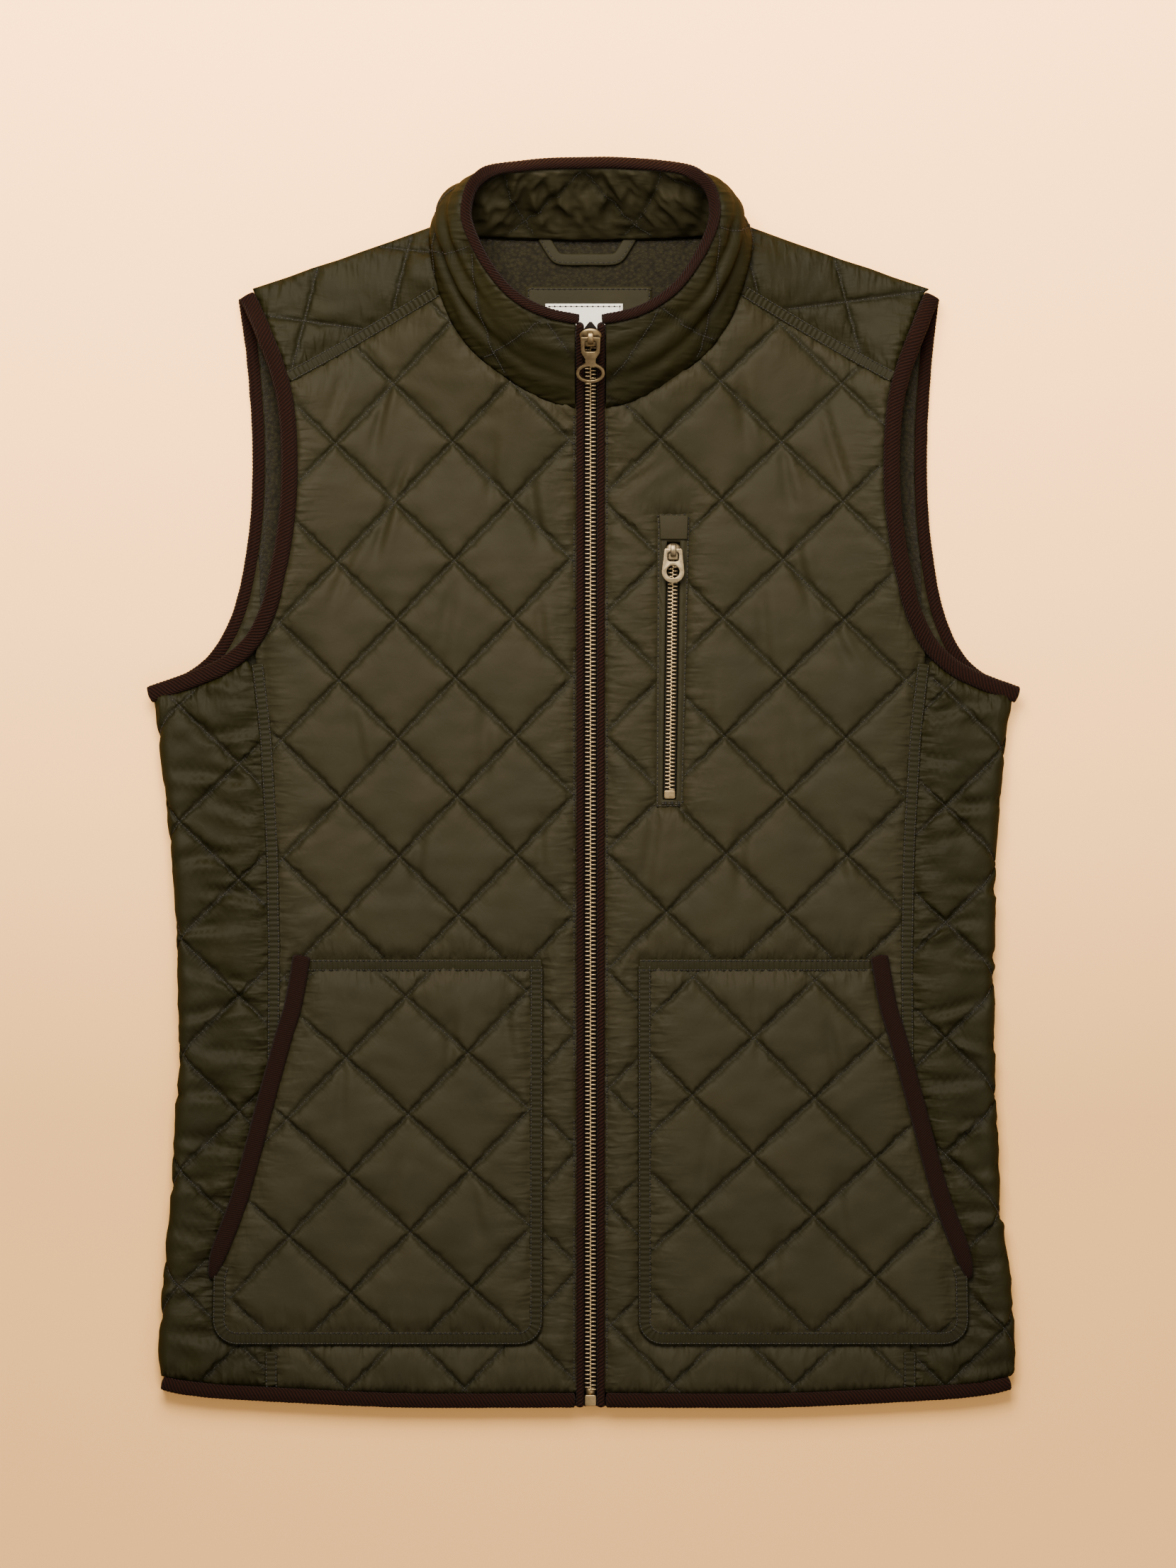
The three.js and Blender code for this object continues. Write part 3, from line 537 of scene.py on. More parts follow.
@dataclass(frozen=True)
class Grosgrain(Finish):
    """Ribbed binding: dry dark cord, with a painted highlight on the crests of its ribs."""

    crest: str = "#260e05"
    pitch: float = 2.2
    depth: float = 0.45

    def dress(self, tree: Tree, shader: Node) -> None:
        """Slanting ribs, with a painted highlight on their fuzzy crests."""
        cloth = add(tree, "SeparateXYZ", {"Vector": add(tree, "UVMap", uv_map="cloth").outputs[0]})
        slant = maths(tree, "ADD", cloth.outputs[0], cloth.outputs[1])
        wave = maths(tree, "SINE", maths(tree, "MULTIPLY", slant, math.tau / self.pitch))
        raised = maths(tree, "ADD", maths(tree, "MULTIPLY", wave, 0.5), 0.5)
        fuzz = add(tree, "TexNoise", {"Vector": self.place(tree), "Scale": 1500.0, "Detail": 2.0})
        # Painted highlight: the crests of the ribs are painted lighter, broken up by the fuzz of the fibres.
        shade = maths(tree, "MULTIPLY", raised, fuzz.outputs["Fac"])
        self.blend(tree, shader, shade, self.colour, self.crest)
        shader.inputs["Sheen Weight"].default_value = 0.02
        self.gloss(tree, shader, 0.07)
        height = maths(tree, "MULTIPLY_ADD", fuzz.outputs["Fac"], 0.7, raised)
        self.bump(tree, shader, height, self.depth)


@dataclass(frozen=True)
class Fleece(Finish):
    """Brushed fleece: matt, with pebbles of fibre about 2 mm across."""

    hollow: str = "#110f07"

    def dress(self, tree: Tree, shader: Node) -> None:
        """Pebbles of fibre, with painted shade between them."""
        place = self.place(tree)
        pebbles = add(tree, "TexVoronoi", {"Vector": place, "Scale": 520.0}, feature="SMOOTH_F1")
        fibres = add(tree, "TexNoise", {"Vector": place, "Scale": 1400.0, "Detail": 3.0})
        height = maths(tree, "SUBTRACT", fibres.outputs["Fac"], pebbles.outputs["Distance"])
        # Painted shade: the fleece is painted darker between the pebbles.
        tint = maths(tree, "SUBTRACT", 1.1, maths(tree, "MULTIPLY", pebbles.outputs["Distance"], 1.7))
        self.blend(tree, shader, tint, self.hollow, self.colour)
        shader.inputs["Sheen Weight"].default_value = 0.04
        shader.inputs["Sheen Roughness"].default_value = 0.6
        self.gloss(tree, shader, 0.1)
        self.bump(tree, shader, height, 0.9)


@dataclass(frozen=True)
class AgedBrass(Finish):
    """Antique brass: warm metal, browner and duller in its hollows."""

    worn: str = "#b59a68"

    def dress(self, tree: Tree, shader: Node) -> None:
        """Paler wear on the edges, and dull clouds."""
        place = self.place(tree)
        clouds = add(tree, "TexNoise", {"Vector": place, "Scale": 420.0, "Detail": 4.0})
        edges = add(tree, "NewGeometry").outputs["Pointiness"]
        wear = maths(tree, "MULTIPLY", maths(tree, "SUBTRACT", edges, 0.47), 9.0)
        share = maths(tree, "MULTIPLY", maths(tree, "ADD", wear, clouds.outputs["Fac"]), 0.8)
        self.blend(tree, shader, share, self.colour, self.worn)
        shader.inputs["Metallic"].default_value = 1.0
        rough = maths(tree, "MULTIPLY_ADD", clouds.outputs["Fac"], 0.22, self.roughness - 0.1)
        tree.links.new(rough, shader.inputs["Roughness"])


@dataclass(frozen=True)
class Woven(Finish):
    """Plain woven tape: fine crosswise threads."""

    pitch: float = 0.7

    def dress(self, tree: Tree, shader: Node) -> None:
        """Crossing threads."""
        parts = add(tree, "SeparateXYZ", {"Vector": self.place(tree)})
        turns = math.tau / (self.pitch * MM)
        phases = (maths(tree, "MULTIPLY", parts.outputs[k], turns) for k in (0, 1))
        across, along = (maths(tree, "SINE", phase) for phase in phases)
        shader.inputs["Specular IOR Level"].default_value = 0.2
        self.bump(tree, shader, maths(tree, "MULTIPLY", across, along), 0.12)


@dataclass(frozen=True)
class Backdrop(Finish):
    """Matt paper sweep: pale above, with painted shade that deepens it below and a painted glow."""

    # Colour of the painted shade at the foot of the paper, where the light falls off.
    lower: str = "#dfad6a"

    def dress(self, tree: Tree, shader: Node) -> None:
        """Paper with painted shade that deepens downwards, and a painted glow."""
        parts = add(tree, "SeparateXYZ", {"Vector": self.place(tree)})
        down = add(tree, "MapRange", {"Value": parts.outputs[1], "From Min": 0.48, "From Max": -0.2})
        reach = add(tree, "VectorMath", {0: self.place(tree)}, operation="LENGTH").outputs["Value"]
        # Beyond 0.85 m the painted shade fades, so the paper is pale all round.
        near = add(tree, "MapRange", {"Value": reach, "From Min": 1.5, "From Max": 0.85}).outputs[0]
        share = maths(tree, "MULTIPLY", down.outputs[0], near)
        tint = self.blend(tree, shader, share, self.colour, self.lower)
        shader.inputs["Specular IOR Level"].default_value = 0.05
        # Painted light: the paper glows by emission in its own colour, most at the head of the sweep and
        # least where the painted shade is deepest.
        tree.links.new(tint, shader.inputs["Emission Color"])
        strength = maths(tree, "MULTIPLY_ADD", near, 1.6, 1.0)
        painted_glow = maths(tree, "MULTIPLY", maths(tree, "SUBTRACT", 1.0, share), strength)
        tree.links.new(painted_glow, shader.inputs["Emission Strength"])


NYLON = Nylon("satin_nylon_olive", Slot.SHELL, "#18170a", 0.66)
# A copy of the nylon painted darker, as shade, for the yokes, side panels, seam strips and the collar's outer
# face.
PAINTED_SHADE_NYLON = Nylon("satin_nylon_turned", Slot.SHELL, "#111004", 0.64, "#191706", 0.7)
# Dark beads sunk between the stitches, painted shade in the needle dimples.
DIMPLE_SHADE = Finish("needle_hole", Slot.SHELL, "#060502", 0.9)
TAPE = Woven("olive_tape", Slot.SHELL, "#16140a", 0.8)
THREAD = Finish("olive_thread", Slot.SHELL, "#27241a", 0.7)
FLEECE = Fleece("olive_fleece", Slot.FLEECE, "#211e0f", 0.95)
RIB = Grosgrain("brown_grosgrain", Slot.RIB, "#0a0301", 0.8)
TWILL = Grosgrain("brown_twill", Slot.RIB, "#0c0402", 0.85, "#220e07", 1.3, 0.25)
BROWN_TAPE = Woven("brown_tape", Slot.RIB, "#0e0603", 0.85)
BRASS = AgedBrass("antique_brass", Slot.BRASS, "#332a1d", 0.4, "#7d6d50")
PALE_BRASS = AgedBrass("pale_brass", Slot.BRASS, "#3a3226", 0.42, "#786c54")
TEETH = AgedBrass("bright_brass", Slot.TEETH, "#2e2418", 0.38, "#8a795a")
LABEL = Woven("white_satin_label", Slot.LABEL, "#e6e3da", 0.55, 0.6)
PAPER = Backdrop("peach_paper", Slot.LABEL, "#ffc07a", 0.95)


def finished(name: str, bm: Mesh, finishes: Sequence[Finish], even: bool = False) -> Piece:
    """Turns a bmesh in metres into a named object with its materials.

    Args:
        name: Name of the piece.
        bm: The mesh, freed here.
        finishes: Its finishes, in the order of the material indices.
        even: Whether faces stay flat-shaded.

    Returns:
        The object.
    """
    mesh = bpy.data.meshes.new(name)
    for face in bm.faces:
        face.smooth = not even
    bm.to_mesh(mesh)
    bm.free()
    for finish in finishes:
        mesh.materials.append(finish.material())
    made = bpy.data.objects.new(name + "_dressed" if name in frame["nodes"] else name, mesh)
    bpy.context.scene.collection.objects.link(made)
    log.info("%s: %d vertices, %d faces", name, len(mesh.vertices), len(mesh.polygons))
    return made


def stand_for(piece: Piece, *nodes: str, body: str = "vest") -> Piece:
    """Lets a piece ride on a body, and stand for the CAD nodes that are named."""
    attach(piece, body)
    if nodes:
        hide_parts(*nodes)
    return piece


def axes(columns: Sequence[Vector]) -> Matrix:
    """Matrix made of three axes and a place."""
    return Matrix([[c[r] for c in columns] for r in range(3)] + [[0, 0, 0, 1]])


def strewn(gathered: Mesh, seed: Mesh, placings: Iterable[Matrix]) -> None:
    """Adds a copy of a small mesh at each placing, and frees the small one."""
    single = bpy.data.meshes.new("single")
    seed.to_mesh(single)
    seed.free()
    for matrix in placings:
        single.transform(matrix)
        gathered.from_mesh(single)
        single.transform(matrix.inverted())
    bpy.data.meshes.remove(single)


def block(made: Mesh, size: Sequence[float], at: Sequence[float] = (0, 0, 0)) -> None:
    """Adds a box of a size, moved from the origin."""
    corners = bmesh.ops.create_cube(made, size=1.0)["verts"]
    bmesh.ops.scale(made, vec=size, verts=corners)
    bmesh.ops.translate(made, vec=at, verts=corners)


def softened(made: Mesh, width: float, steps: int = 3) -> None:
    """Rounds every edge."""
    edges = made.edges[:]
    bmesh.ops.bevel(
        made, geom=edges, offset=width, segments=steps, profile=0.5, affect="EDGES", material=-1,
    )


def set_down(made: Mesh, at: Sequence[float]) -> None:
    """Moves a mesh that is in millimetres to a place on the table."""
    lift = Matrix.Translation(world(Vector(at))) @ Matrix.Scale(MM, 4)
    bmesh.ops.transform(made, matrix=lift, verts=made.verts)


@dataclass
class Stitches:
    """Rows of single thread stitches, gathered into one mesh."""

    name: str
    finish: Finish = THREAD
    length: float = STITCH_LENGTH
    width: float = 0.4
    holes: bool = True
    places: list[tuple[Vector, Vector, Vector]] = field(default_factory=list)

    def add_row(self, points: Sequence[Vector], up: Callable[[int], Vector] | None = None) -> None:
        """Adds a row along a path in millimetres, with one stitch to each pitch."""
        count = max(1, int(length_of(points) / STITCH_PITCH))
        row = evened(points, 2 * count)
        for k in range(count):
            before, at, after = row[2 * k : 2 * k + 3]
            self.places.append((at, after - before, up(k) if up else Vector((0, 0, 1))))

    def build(self) -> Piece:
        """Builds the object of all stitches, with dark beads between them as painted shade in the needle
        dimples.
        """
        gathered = bmesh.new()
        thread = bmesh.new()
        if self.holes:
            bmesh.ops.create_icosphere(thread, subdivisions=1, radius=0.5)
        else:
            bmesh.ops.create_uvsphere(thread, u_segments=4, v_segments=2, radius=0.5)
        strewn(gathered, thread, self.placings((self.length, self.width, self.width * 0.8)))
        threads = len(gathered.faces)
        if self.holes:
            # The dark beads between the stitches are painted shade in the needle dimples.
            hole = bmesh.new()
            bmesh.ops.create_uvsphere(hole, u_segments=4, v_segments=2, radius=0.5)
            strewn(gathered, hole, self.placings(DIMPLE_SHADE_SIZE, STITCH_PITCH / 2, 0.1))
        gathered.faces.ensure_lookup_table()
        for face in gathered.faces[threads:]:
            face.material_index = 1
        return stand_for(finished(self.name, gathered, [self.finish, DIMPLE_SHADE]))

    def placings(self, size: Sequence[float], ahead: float = 0.0, sunk: float = 0.0) -> Iterator[Matrix]:
        """Placings of a bead of one size at every stitch, moved ahead and sunk into the cloth."""
        for at, along, up in self.places:
            forward = along.normalized()
            side = up.cross(forward).normalized()
            normal = forward.cross(side)
            sizes = (forward * size[0], side * size[1], normal * size[2])
            yield axes([*(axis * MM for axis in sizes), world(at + forward * ahead - normal * sunk)])


def swept(rows: int, columns: int, place: Callable[[float, float], Vector], scale: Point) -> Mesh:
    """Closed skin with filled ends.

    Args:
        rows: Steps along it.
        columns: Steps round it.
        place: Place in millimetres, from the shares along and round.
        scale: Length along and length round, in millimetres, for the pattern.

    Returns:
        The mesh, in metres, with a UV map named cloth.
    """
    made = bmesh.new()
    cloth = made.loops.layers.uv.new("cloth")
    bmesh.ops.create_grid(made, x_segments=rows, y_segments=columns, size=0.5)
    shares = {v: (v.co.x + 0.5, v.co.y + 0.5) for v in made.verts}
    for face in made.faces:
        for loop in face.loops:
            along, around = shares[loop.vert]
            loop[cloth].uv = (along * scale[0], around * scale[1])
    for vert, (along, around) in shares.items():
        vert.co = world(place(along, around % 1.0 if around < 0.9999 else 0.0))
    rims = [v for v, (_, around) in shares.items() if around < 0.0001 or around > 0.9999]
    bmesh.ops.remove_doubles(made, verts=rims, dist=1e-6)
    bmesh.ops.holes_fill(made, edges=[e for e in made.edges if e.is_boundary], sides=0)
    bmesh.ops.recalc_face_normals(made, faces=made.faces)
    return made


@dataclass
class Band:
    """Strip with a rounded top, swept along a path at a level width.

    The ribs or gathers of the cloth are waves in its top, along the path and slanting across it.
    """

    name: str
    path: list[Vector]
    width: float
    thick: float
    finish: Finish
    nodes: tuple[str, ...] = ()
    pitch: float = 2.2
    wave: float = 0.5
    skew: float = 1.0
    step: float = 0.6
    columns: int = 12
    squareness: float = 2.8
    seed: float = 0.0
    tips: Point = (1.4, 1.4)

    def frame_at(self, row: int, rows: list[Vector]) -> tuple[Vector, Vector, Vector]:
        """Point, sideways direction and upward direction at one row."""
        before, after = rows[max(row - 1, 0)], rows[min(row + 1, len(rows) - 1)]
        along = (after - before).normalized()
        side = along.cross(Vector((0, 0, 1))).normalized()
        return rows[row], side, side.cross(along)

    def build(self) -> Piece:
        """Builds the band."""
        total = length_of(self.path)
        count = max(6, round(total / self.step))
        rows = evened(self.path, count)

        def place(along: float, around: float) -> Vector:
            """Place on the skin of the band."""
            row = round(along * count)
            point, side, up = self.frame_at(row, rows)
            s, t = (part / 2 for part in squared(around * math.tau, 2 / self.squareness))
            phase = (along * total + s * self.width * self.skew) / self.pitch
            ribbed = abs(math.sin(math.pi * phase)) ** 0.8 - 0.5
            rib = ribbed if self.skew else 0.5 * math.sin(math.tau * phase)
            lump = noise.noise(Vector((along * total / 9, s * 2, self.seed)))
            lift = (rib * self.wave + lump * self.wave * 0.5) * (1 if t > -0.2 else 0.2)
            ends = (along * total / self.tips[0], (1 - along) * total / self.tips[1])
            tip = math.sqrt(1 - (1 - min(1.0, *ends)) ** 2 * 0.95)
            full = (t + 0.5) * self.thick * (0.35 + 0.65 * tip)
            height = max(0.0, full + lift * smooth(-0.5, 0.3, t) * tip)
            reach = s * self.width * tip + lift * s * 1.4
            return point + side * reach + up * height

        mesh = swept(count, self.columns, place, (total, self.width * 2.4))
        return stand_for(finished(self.name, mesh, [self.finish]), *self.nodes)

    def row_at(self, across: float, lift: float) -> list[Vector]:
        """Path of a stitch row on the band, at a distance from its middle."""
        rows = evened(self.path, max(6, len(self.path)))
        made = []
        for k in range(len(rows)):
            point, side, up = self.frame_at(k, rows)
            made.append(point + side * across + up * lift)
        return made


@dataclass(frozen=True)
class Edge:
    """Edge of a panel, with the width of the flat strip beside it."""

    line: list[Point]
    rim: float = 0.8


@dataclass(frozen=True)
class Crease:
    """Soft trough pressed into the padding: its middle, length, width, depth and lean."""

    x: float
    y: float
    length: float
    width: float
    depth: float
    lean: float

    def at(self, x: float, y: float) -> float:
        """Depth of the trough at a place."""
        angle = math.radians(self.lean)
        along = (y - self.y) * math.cos(angle) + (x - self.x) * math.sin(angle)
        across = (x - self.x) * math.cos(angle) - (y - self.y) * math.sin(angle)
        bent = (across - 0.0012 * along * along) / self.width
        if abs(bent) > 4:
            return 0.0
        trough = math.exp(-(bent**2)) - 0.45 * math.exp(-((bent - 1.7) ** 2))
        return self.depth * trough * math.exp(-((2 * along / self.length) ** 4))


@dataclass
class Panel:
    """Quilted panel: padded diamonds between stitch lines, closed by a plain inner face."""

    name: str
    quilt: Quilt
    outline: list[Point]
    edges: list[Edge]
    place: Place
    flats: list[list[Point]] = field(default_factory=list)
    wall: float = WALL
    puff: float = 5.2
    grain: int = 22
    pressure: float = 3.0
    excess: float = 0.05
    over: Finish = NYLON
    under: Finish = NYLON
    fill: float = 0.6
    creases: list[Crease] = field(default_factory=list)
    crumple: float = 0.7
    profile: Callable[[float, float, float], float] | None = None
    seed: float = 0.0

    def __post_init__(self) -> None:
        """Starts an empty sheet."""
        self.mesh = bmesh.new()
        self.flat: list[Vector] = []
        self.pins: list[int] = []
        self.pinned: set[int] = set()
        self.room = np.zeros(0)
        self.along = np.zeros(0)

    def clearance(self, points: np.ndarray) -> tuple[np.ndarray, np.ndarray, np.ndarray]:
        """Room for padding at each point, the length along the nearest seam, and how level it runs."""
        room = np.full(len(points), np.inf)
        along = np.zeros(len(points))
        level = np.zeros(len(points))
        lines = [(edge.line, edge.rim, None) for edge in self.edges]
        lines += [([*flat, flat[0]], 0.0, flat) for flat in self.flats]
        for number, (line, rim, flat) in enumerate(lines):
            gap, length, _, slant = nearest(points, line)
            gap = np.where(inside(points, flat), -gap, gap) if flat else gap - rim
            closer = gap < room
            along[closer] = length[closer] + SEAM_STAGGER * number
            level[closer] = slant[closer]
            room = np.minimum(room, gap)
        return np.maximum(room, 0), along, level

    def lay_out(self) -> None:
        """Makes the open sheet on the lattice, with its padding at the height of its stitch lines."""
        cells = [self.quilt.cell(x, y) for x, y in self.outline]
        first = [math.floor(min(c[k] for c in cells) - 0.1) for k in (0, 1)]
        last = [math.ceil(max(c[k] for c in cells) + 0.1) for k in (0, 1)]
        counts = [(last[k] - first[k]) * self.grain for k in (0, 1)]
        made = self.mesh
        quilt = made.loops.layers.uv.new("quilt")
        seam = made.loops.layers.uv.new("seam")
        bmesh.ops.create_grid(made, x_segments=counts[0], y_segments=counts[1], size=0.5)

        def warped(share: float, count: int) -> tuple[float, bool]:
            """Lattice coordinate, denser beside the lines, and whether it is on a line."""
            step = round(share * count)
            part = step / self.grain
            return part - 0.5 * math.sin(math.tau * part) / math.tau, step % self.grain == 0

        cell: dict[bmesh.types.BMVert, tuple[float, float]] = {}
        lined = set()
        for vert in made.verts:
            u, on_u = warped(vert.co.x + 0.5, counts[0])
            v, on_v = warped(vert.co.y + 0.5, counts[1])
            u, v = u + first[0], v + first[1]
            cell[vert] = (u, v)
            if on_u or on_v:
                lined.add(vert)
            vert.co = Vector((*self.quilt.at(u, v), 0))
        centres = np.array([tuple(f.calc_center_median())[:2] for f in made.faces])
        kept = inside(centres, self.outline)
        bmesh.ops.delete(made, geom=[f for f, keep in zip(made.faces, kept) if not keep], context="FACES")
        made.normal_update()
        downward = [f for f in made.faces if f.normal.z < 0]
        bmesh.ops.reverse_faces(made, faces=downward)
        rim = [v for v in made.verts if v.is_boundary]
        loop = [*self.outline, self.outline[0]]
        feet = nearest(np.array([tuple(v.co)[:2] for v in rim]), loop)[2]
        for vert, foot in zip(rim, feet):
            vert.co = Vector((foot[0], foot[1], 0))
        made.verts.index_update()
        points = np.array([tuple(v.co)[:2] for v in made.verts])
        room, along, level = self.clearance(points)
        for face in made.faces:
            for piece in face.loops:
                k = piece.vert.index
                piece[quilt].uv = cell[piece.vert]
                piece[seam].uv = (level[k], room[k])
        rim_set = set(rim)
        for vert in made.verts:
            k = vert.index
            u, v = cell[vert]
            swell = 1.0
            for share, other in ((u, self.quilt.a), (v, self.quilt.b)):
                swell *= 1 - math.exp(-abs(share - round(share)) * math.hypot(*other) / 1.2)
            soft = min(1.0, room[k] / 13.0) ** 0.5
            wander = 1 + 0.18 * noise.noise(Vector((points[k][0] / 30, points[k][1] / 30, self.seed)))
            self.flat.append(Vector((points[k][0], points[k][1], self.puff * swell * soft * wander)))
            if vert in lined or vert in rim_set or room[k] < 0.4:
                self.pins.append(k)
        self.pinned = set(self.pins)
        self.room, self.along = room, along

    def press(self) -> None:
        """Presses the creases and the gathers beside the seams into the padding."""
        for k, place in enumerate(self.flat):
            if k in self.pinned:
                continue
            x, y = place.x, place.y
            dent = 1.35 * sum(c.at(x, y) for c in self.creases)
            room = float(self.room[k])
            gather = noise.noise(Vector((self.along[k] / 4.6, room / 16, self.seed + 7)))
            crumple = noise.noise(Vector((x / 15, y / 8, self.seed + 5))) * self.crumple
            lift = gather * 2.6 * math.exp(-room / 12) * smooth(0, 2.5, room) + crumple
            soft = min(1.0, place.z / 2.5)
            place.z = max(0.1, place.z - min(dent, place.z * 0.75) + lift * soft)

    def closed(self, inner_index: int = 1) -> Mesh:
        """The sheet closed by its inner face, in place.

        Args:
            inner_index: Material index of the inner face.

        Returns:
            The mesh, in metres.
        """
        made = self.mesh
        made.verts.index_update()
        mark = made.verts.layers.int.new("mark")
        for vert in made.verts:
            vert[mark] = vert.index
        lower = set(made.verts)
        inner = set(made.faces)
        bmesh.ops.extrude_face_region(made, geom=made.faces[:], use_keep_orig=True)
        for face in inner:
            face.material_index = inner_index
        for vert in made.verts:
            k = vert[mark]
            if vert in lower:
                vert.co = world(self.place(vert.co.x, vert.co.y, 0.0))
            else:
                at = self.flat[k]
                height = self.wall + at.z
                if self.profile:
                    height = self.profile(at.x, at.y, at.z)
                vert.co = world(self.place(at.x, at.y, height))
        bmesh.ops.recalc_face_normals(made, faces=made.faces)
        return made

    def build(self) -> Piece:
        """Builds the padded panel."""
        piece = stand_for(finished(self.name, self.closed(), [self.over, self.under]), self.name)
        return piece

    def stitch_lines(self, stitches: Stitches, lift: float = 0.25) -> None:
        """Adds the stitches of every quilting line that shows on the panel."""
        cells = [self.quilt.cell(x, y) for x, y in self.outline]
        spans = [(min(c[k] for c in cells), max(c[k] for c in cells)) for k in (0, 1)]
        for k in (0, 1):
            step = self.quilt.b if k == 0 else self.quilt.a
            side = math.hypot(*step)
            heading = Vector((*step, 0)).normalized()
            other = spans[1 - k]
            for line in range(math.ceil(spans[k][0]), math.floor(spans[k][1]) + 1):
                count = int((other[1] - other[0]) * side / STITCH_PITCH)
                steps = [other[0] + s * STITCH_PITCH / side for s in range(count)]
                pairs = [(line, s) if k == 0 else (s, line) for s in steps]
                points = np.array([self.quilt.at(*pair) for pair in pairs])
                if not len(points):
                    continue
                room = self.clearance(points)[0]
                seen = inside(points, self.outline) & (room > 0.6)
                for (x, y), show in zip(points, seen):
                    if not show:
                        continue
                    height = self.wall + lift
                    if self.profile:
                        height = self.profile(x, y, 0.0) + lift
                    at = self.place(x, y, height)
                    up = (self.place(x, y, height + 1) - at).normalized()
                    ahead = self.place(x + heading.x, y + heading.y, height) - at
                    stitches.places.append((at, ahead, up))


@dataclass
class Inflation:
    """Cloth simulation that fills the diamonds of several panels at once, 20 times their size."""

    panels: list[Panel]
    frames: int = 14
    scale: float = 0.02

    def sheet(self, panel: Panel) -> Piece:
        """Pinned cloth object of one panel."""
        mesh = bpy.data.meshes.new("sheet_" + panel.name)
        panel.mesh.to_mesh(mesh)
        for vert, place in zip(mesh.vertices, panel.flat):
            vert.co = Vector((place.x, place.y, place.z * 0.75)) * self.scale
        made = bpy.data.objects.new(mesh.name, mesh)
        bpy.context.scene.collection.objects.link(made)
        made.vertex_groups.new(name="pin").add(panel.pins, 1.0, "REPLACE")
        cloth = made.modifiers.new("cloth", "CLOTH")
        settings = cloth.settings
        settings.quality = 5
        settings.mass = 0.3
        settings.tension_stiffness = 15
        settings.compression_stiffness = 15
        settings.shear_stiffness = 5
        settings.bending_stiffness = 0.4
        settings.vertex_group_mass = "pin"
        settings.use_pressure = True
        settings.uniform_pressure_force = panel.pressure
        settings.shrink_min = -panel.excess
        settings.shrink_max = -panel.excess
        settings.effector_weights.gravity = 0
        cloth.collision_settings.use_collision = False
        cloth.point_cache.frame_end = self.frames + 1
        return made

    def run(self) -> None:
        """Runs the simulation and keeps each panel's filled shape."""
        sheets = [self.sheet(panel) for panel in self.panels]
        for step in range(1, self.frames + 1):
            bpy.context.scene.frame_set(step)
        graph = bpy.context.evaluated_depsgraph_get()
        for panel, sheet in zip(self.panels, sheets):
            shape = sheet.evaluated_get(graph).data
            highest = max(v.co.z for v in shape.vertices) / self.scale
            for k, vert in enumerate(shape.vertices):
                if k in panel.pinned:
                    panel.flat[k].z = 0.0
                    continue
                place = vert.co / self.scale
                height = panel.puff * (1 - math.exp(-max(0.0, place.z) / (0.55 * highest)))
                height = (height**4 + (0.5 * panel.flat[k].z) ** 4) ** 0.25
                panel.flat[k] = Vector((place.x, place.y, height))
            log.info("%s filled to %.1f mm", panel.name, highest)
        for sheet in sheets:
            mesh = sheet.data
            bpy.data.objects.remove(sheet)
            bpy.data.meshes.remove(mesh)
        bpy.context.scene.frame_set(1)


@dataclass(frozen=True)
class PatchPocket:
    """Sizes of a lower pocket: its outline without the slanted binding."""

    inner: float = 28.5
    top: float = 270.0
    bottom: float = 37.3
    outer: float = 228.0
    corner: float = 15.0
    base: float = 10.9
    wall: float = 2.5
    frame: float = 8.2

    def outline(self, grow: float, shift: float, corner_steps: int = 8) -> list[Point]:
        """Outline grown outwards, with the slanted edge shifted sideways."""
        made: list[Point] = [(self.inner - grow, self.top + grow)]
        for centre, start in ((self.inner + self.corner, math.pi), (self.outer - self.corner, 1.5 * math.pi)):
            for k in range(corner_steps + 1):
                angle = start + k / corner_steps * math.pi / 2
                radius = self.corner + grow
                made.append((
                    centre + radius * math.cos(angle), self.bottom + self.corner + radius * math.sin(angle),
                ))
        slant = [(x + shift, y) for x, y in curve(OUTLINES["pocket_slant"], 24)]
        slant[0] = (slant[0][0], self.top + grow)
        return made + slant[::-1]


@dataclass(frozen=True)
class ChestPocket:
    """Sizes of the upright zip pocket on the wearer's left chest."""

    top: float = 537.7
    bottom: float = 362.0
    top_half: float = 9.3
    bottom_half: float = 7.6
    x: float = 50.2
    drop: float = -2.6
    tape: float = 10.0

    def x_at(self, y: float) -> float:
        """Middle of the pocket at a height."""
        return self.x + self.drop * (self.top - y) / (self.top - self.bottom)

    def half_at(self, y: float) -> float:
        """Half width of the stitched field at a height."""
        return mix(self.top_half, self.bottom_half, (self.top - y) / (self.top - self.bottom))

    def outline(self, grow: float) -> list[Point]:
        """Outline of the stitched field, grown outwards."""
        low, high = self.bottom - grow, self.top + grow
        return [
            (self.x_at(low) - self.bottom_half - grow, low), (self.x_at(low) + self.bottom_half + grow, low),
            (self.x_at(high) + self.top_half + grow, high), (self.x_at(high) - self.top_half - grow, high),
        ]


POCKET = PatchPocket()
CHEST = ChestPocket()


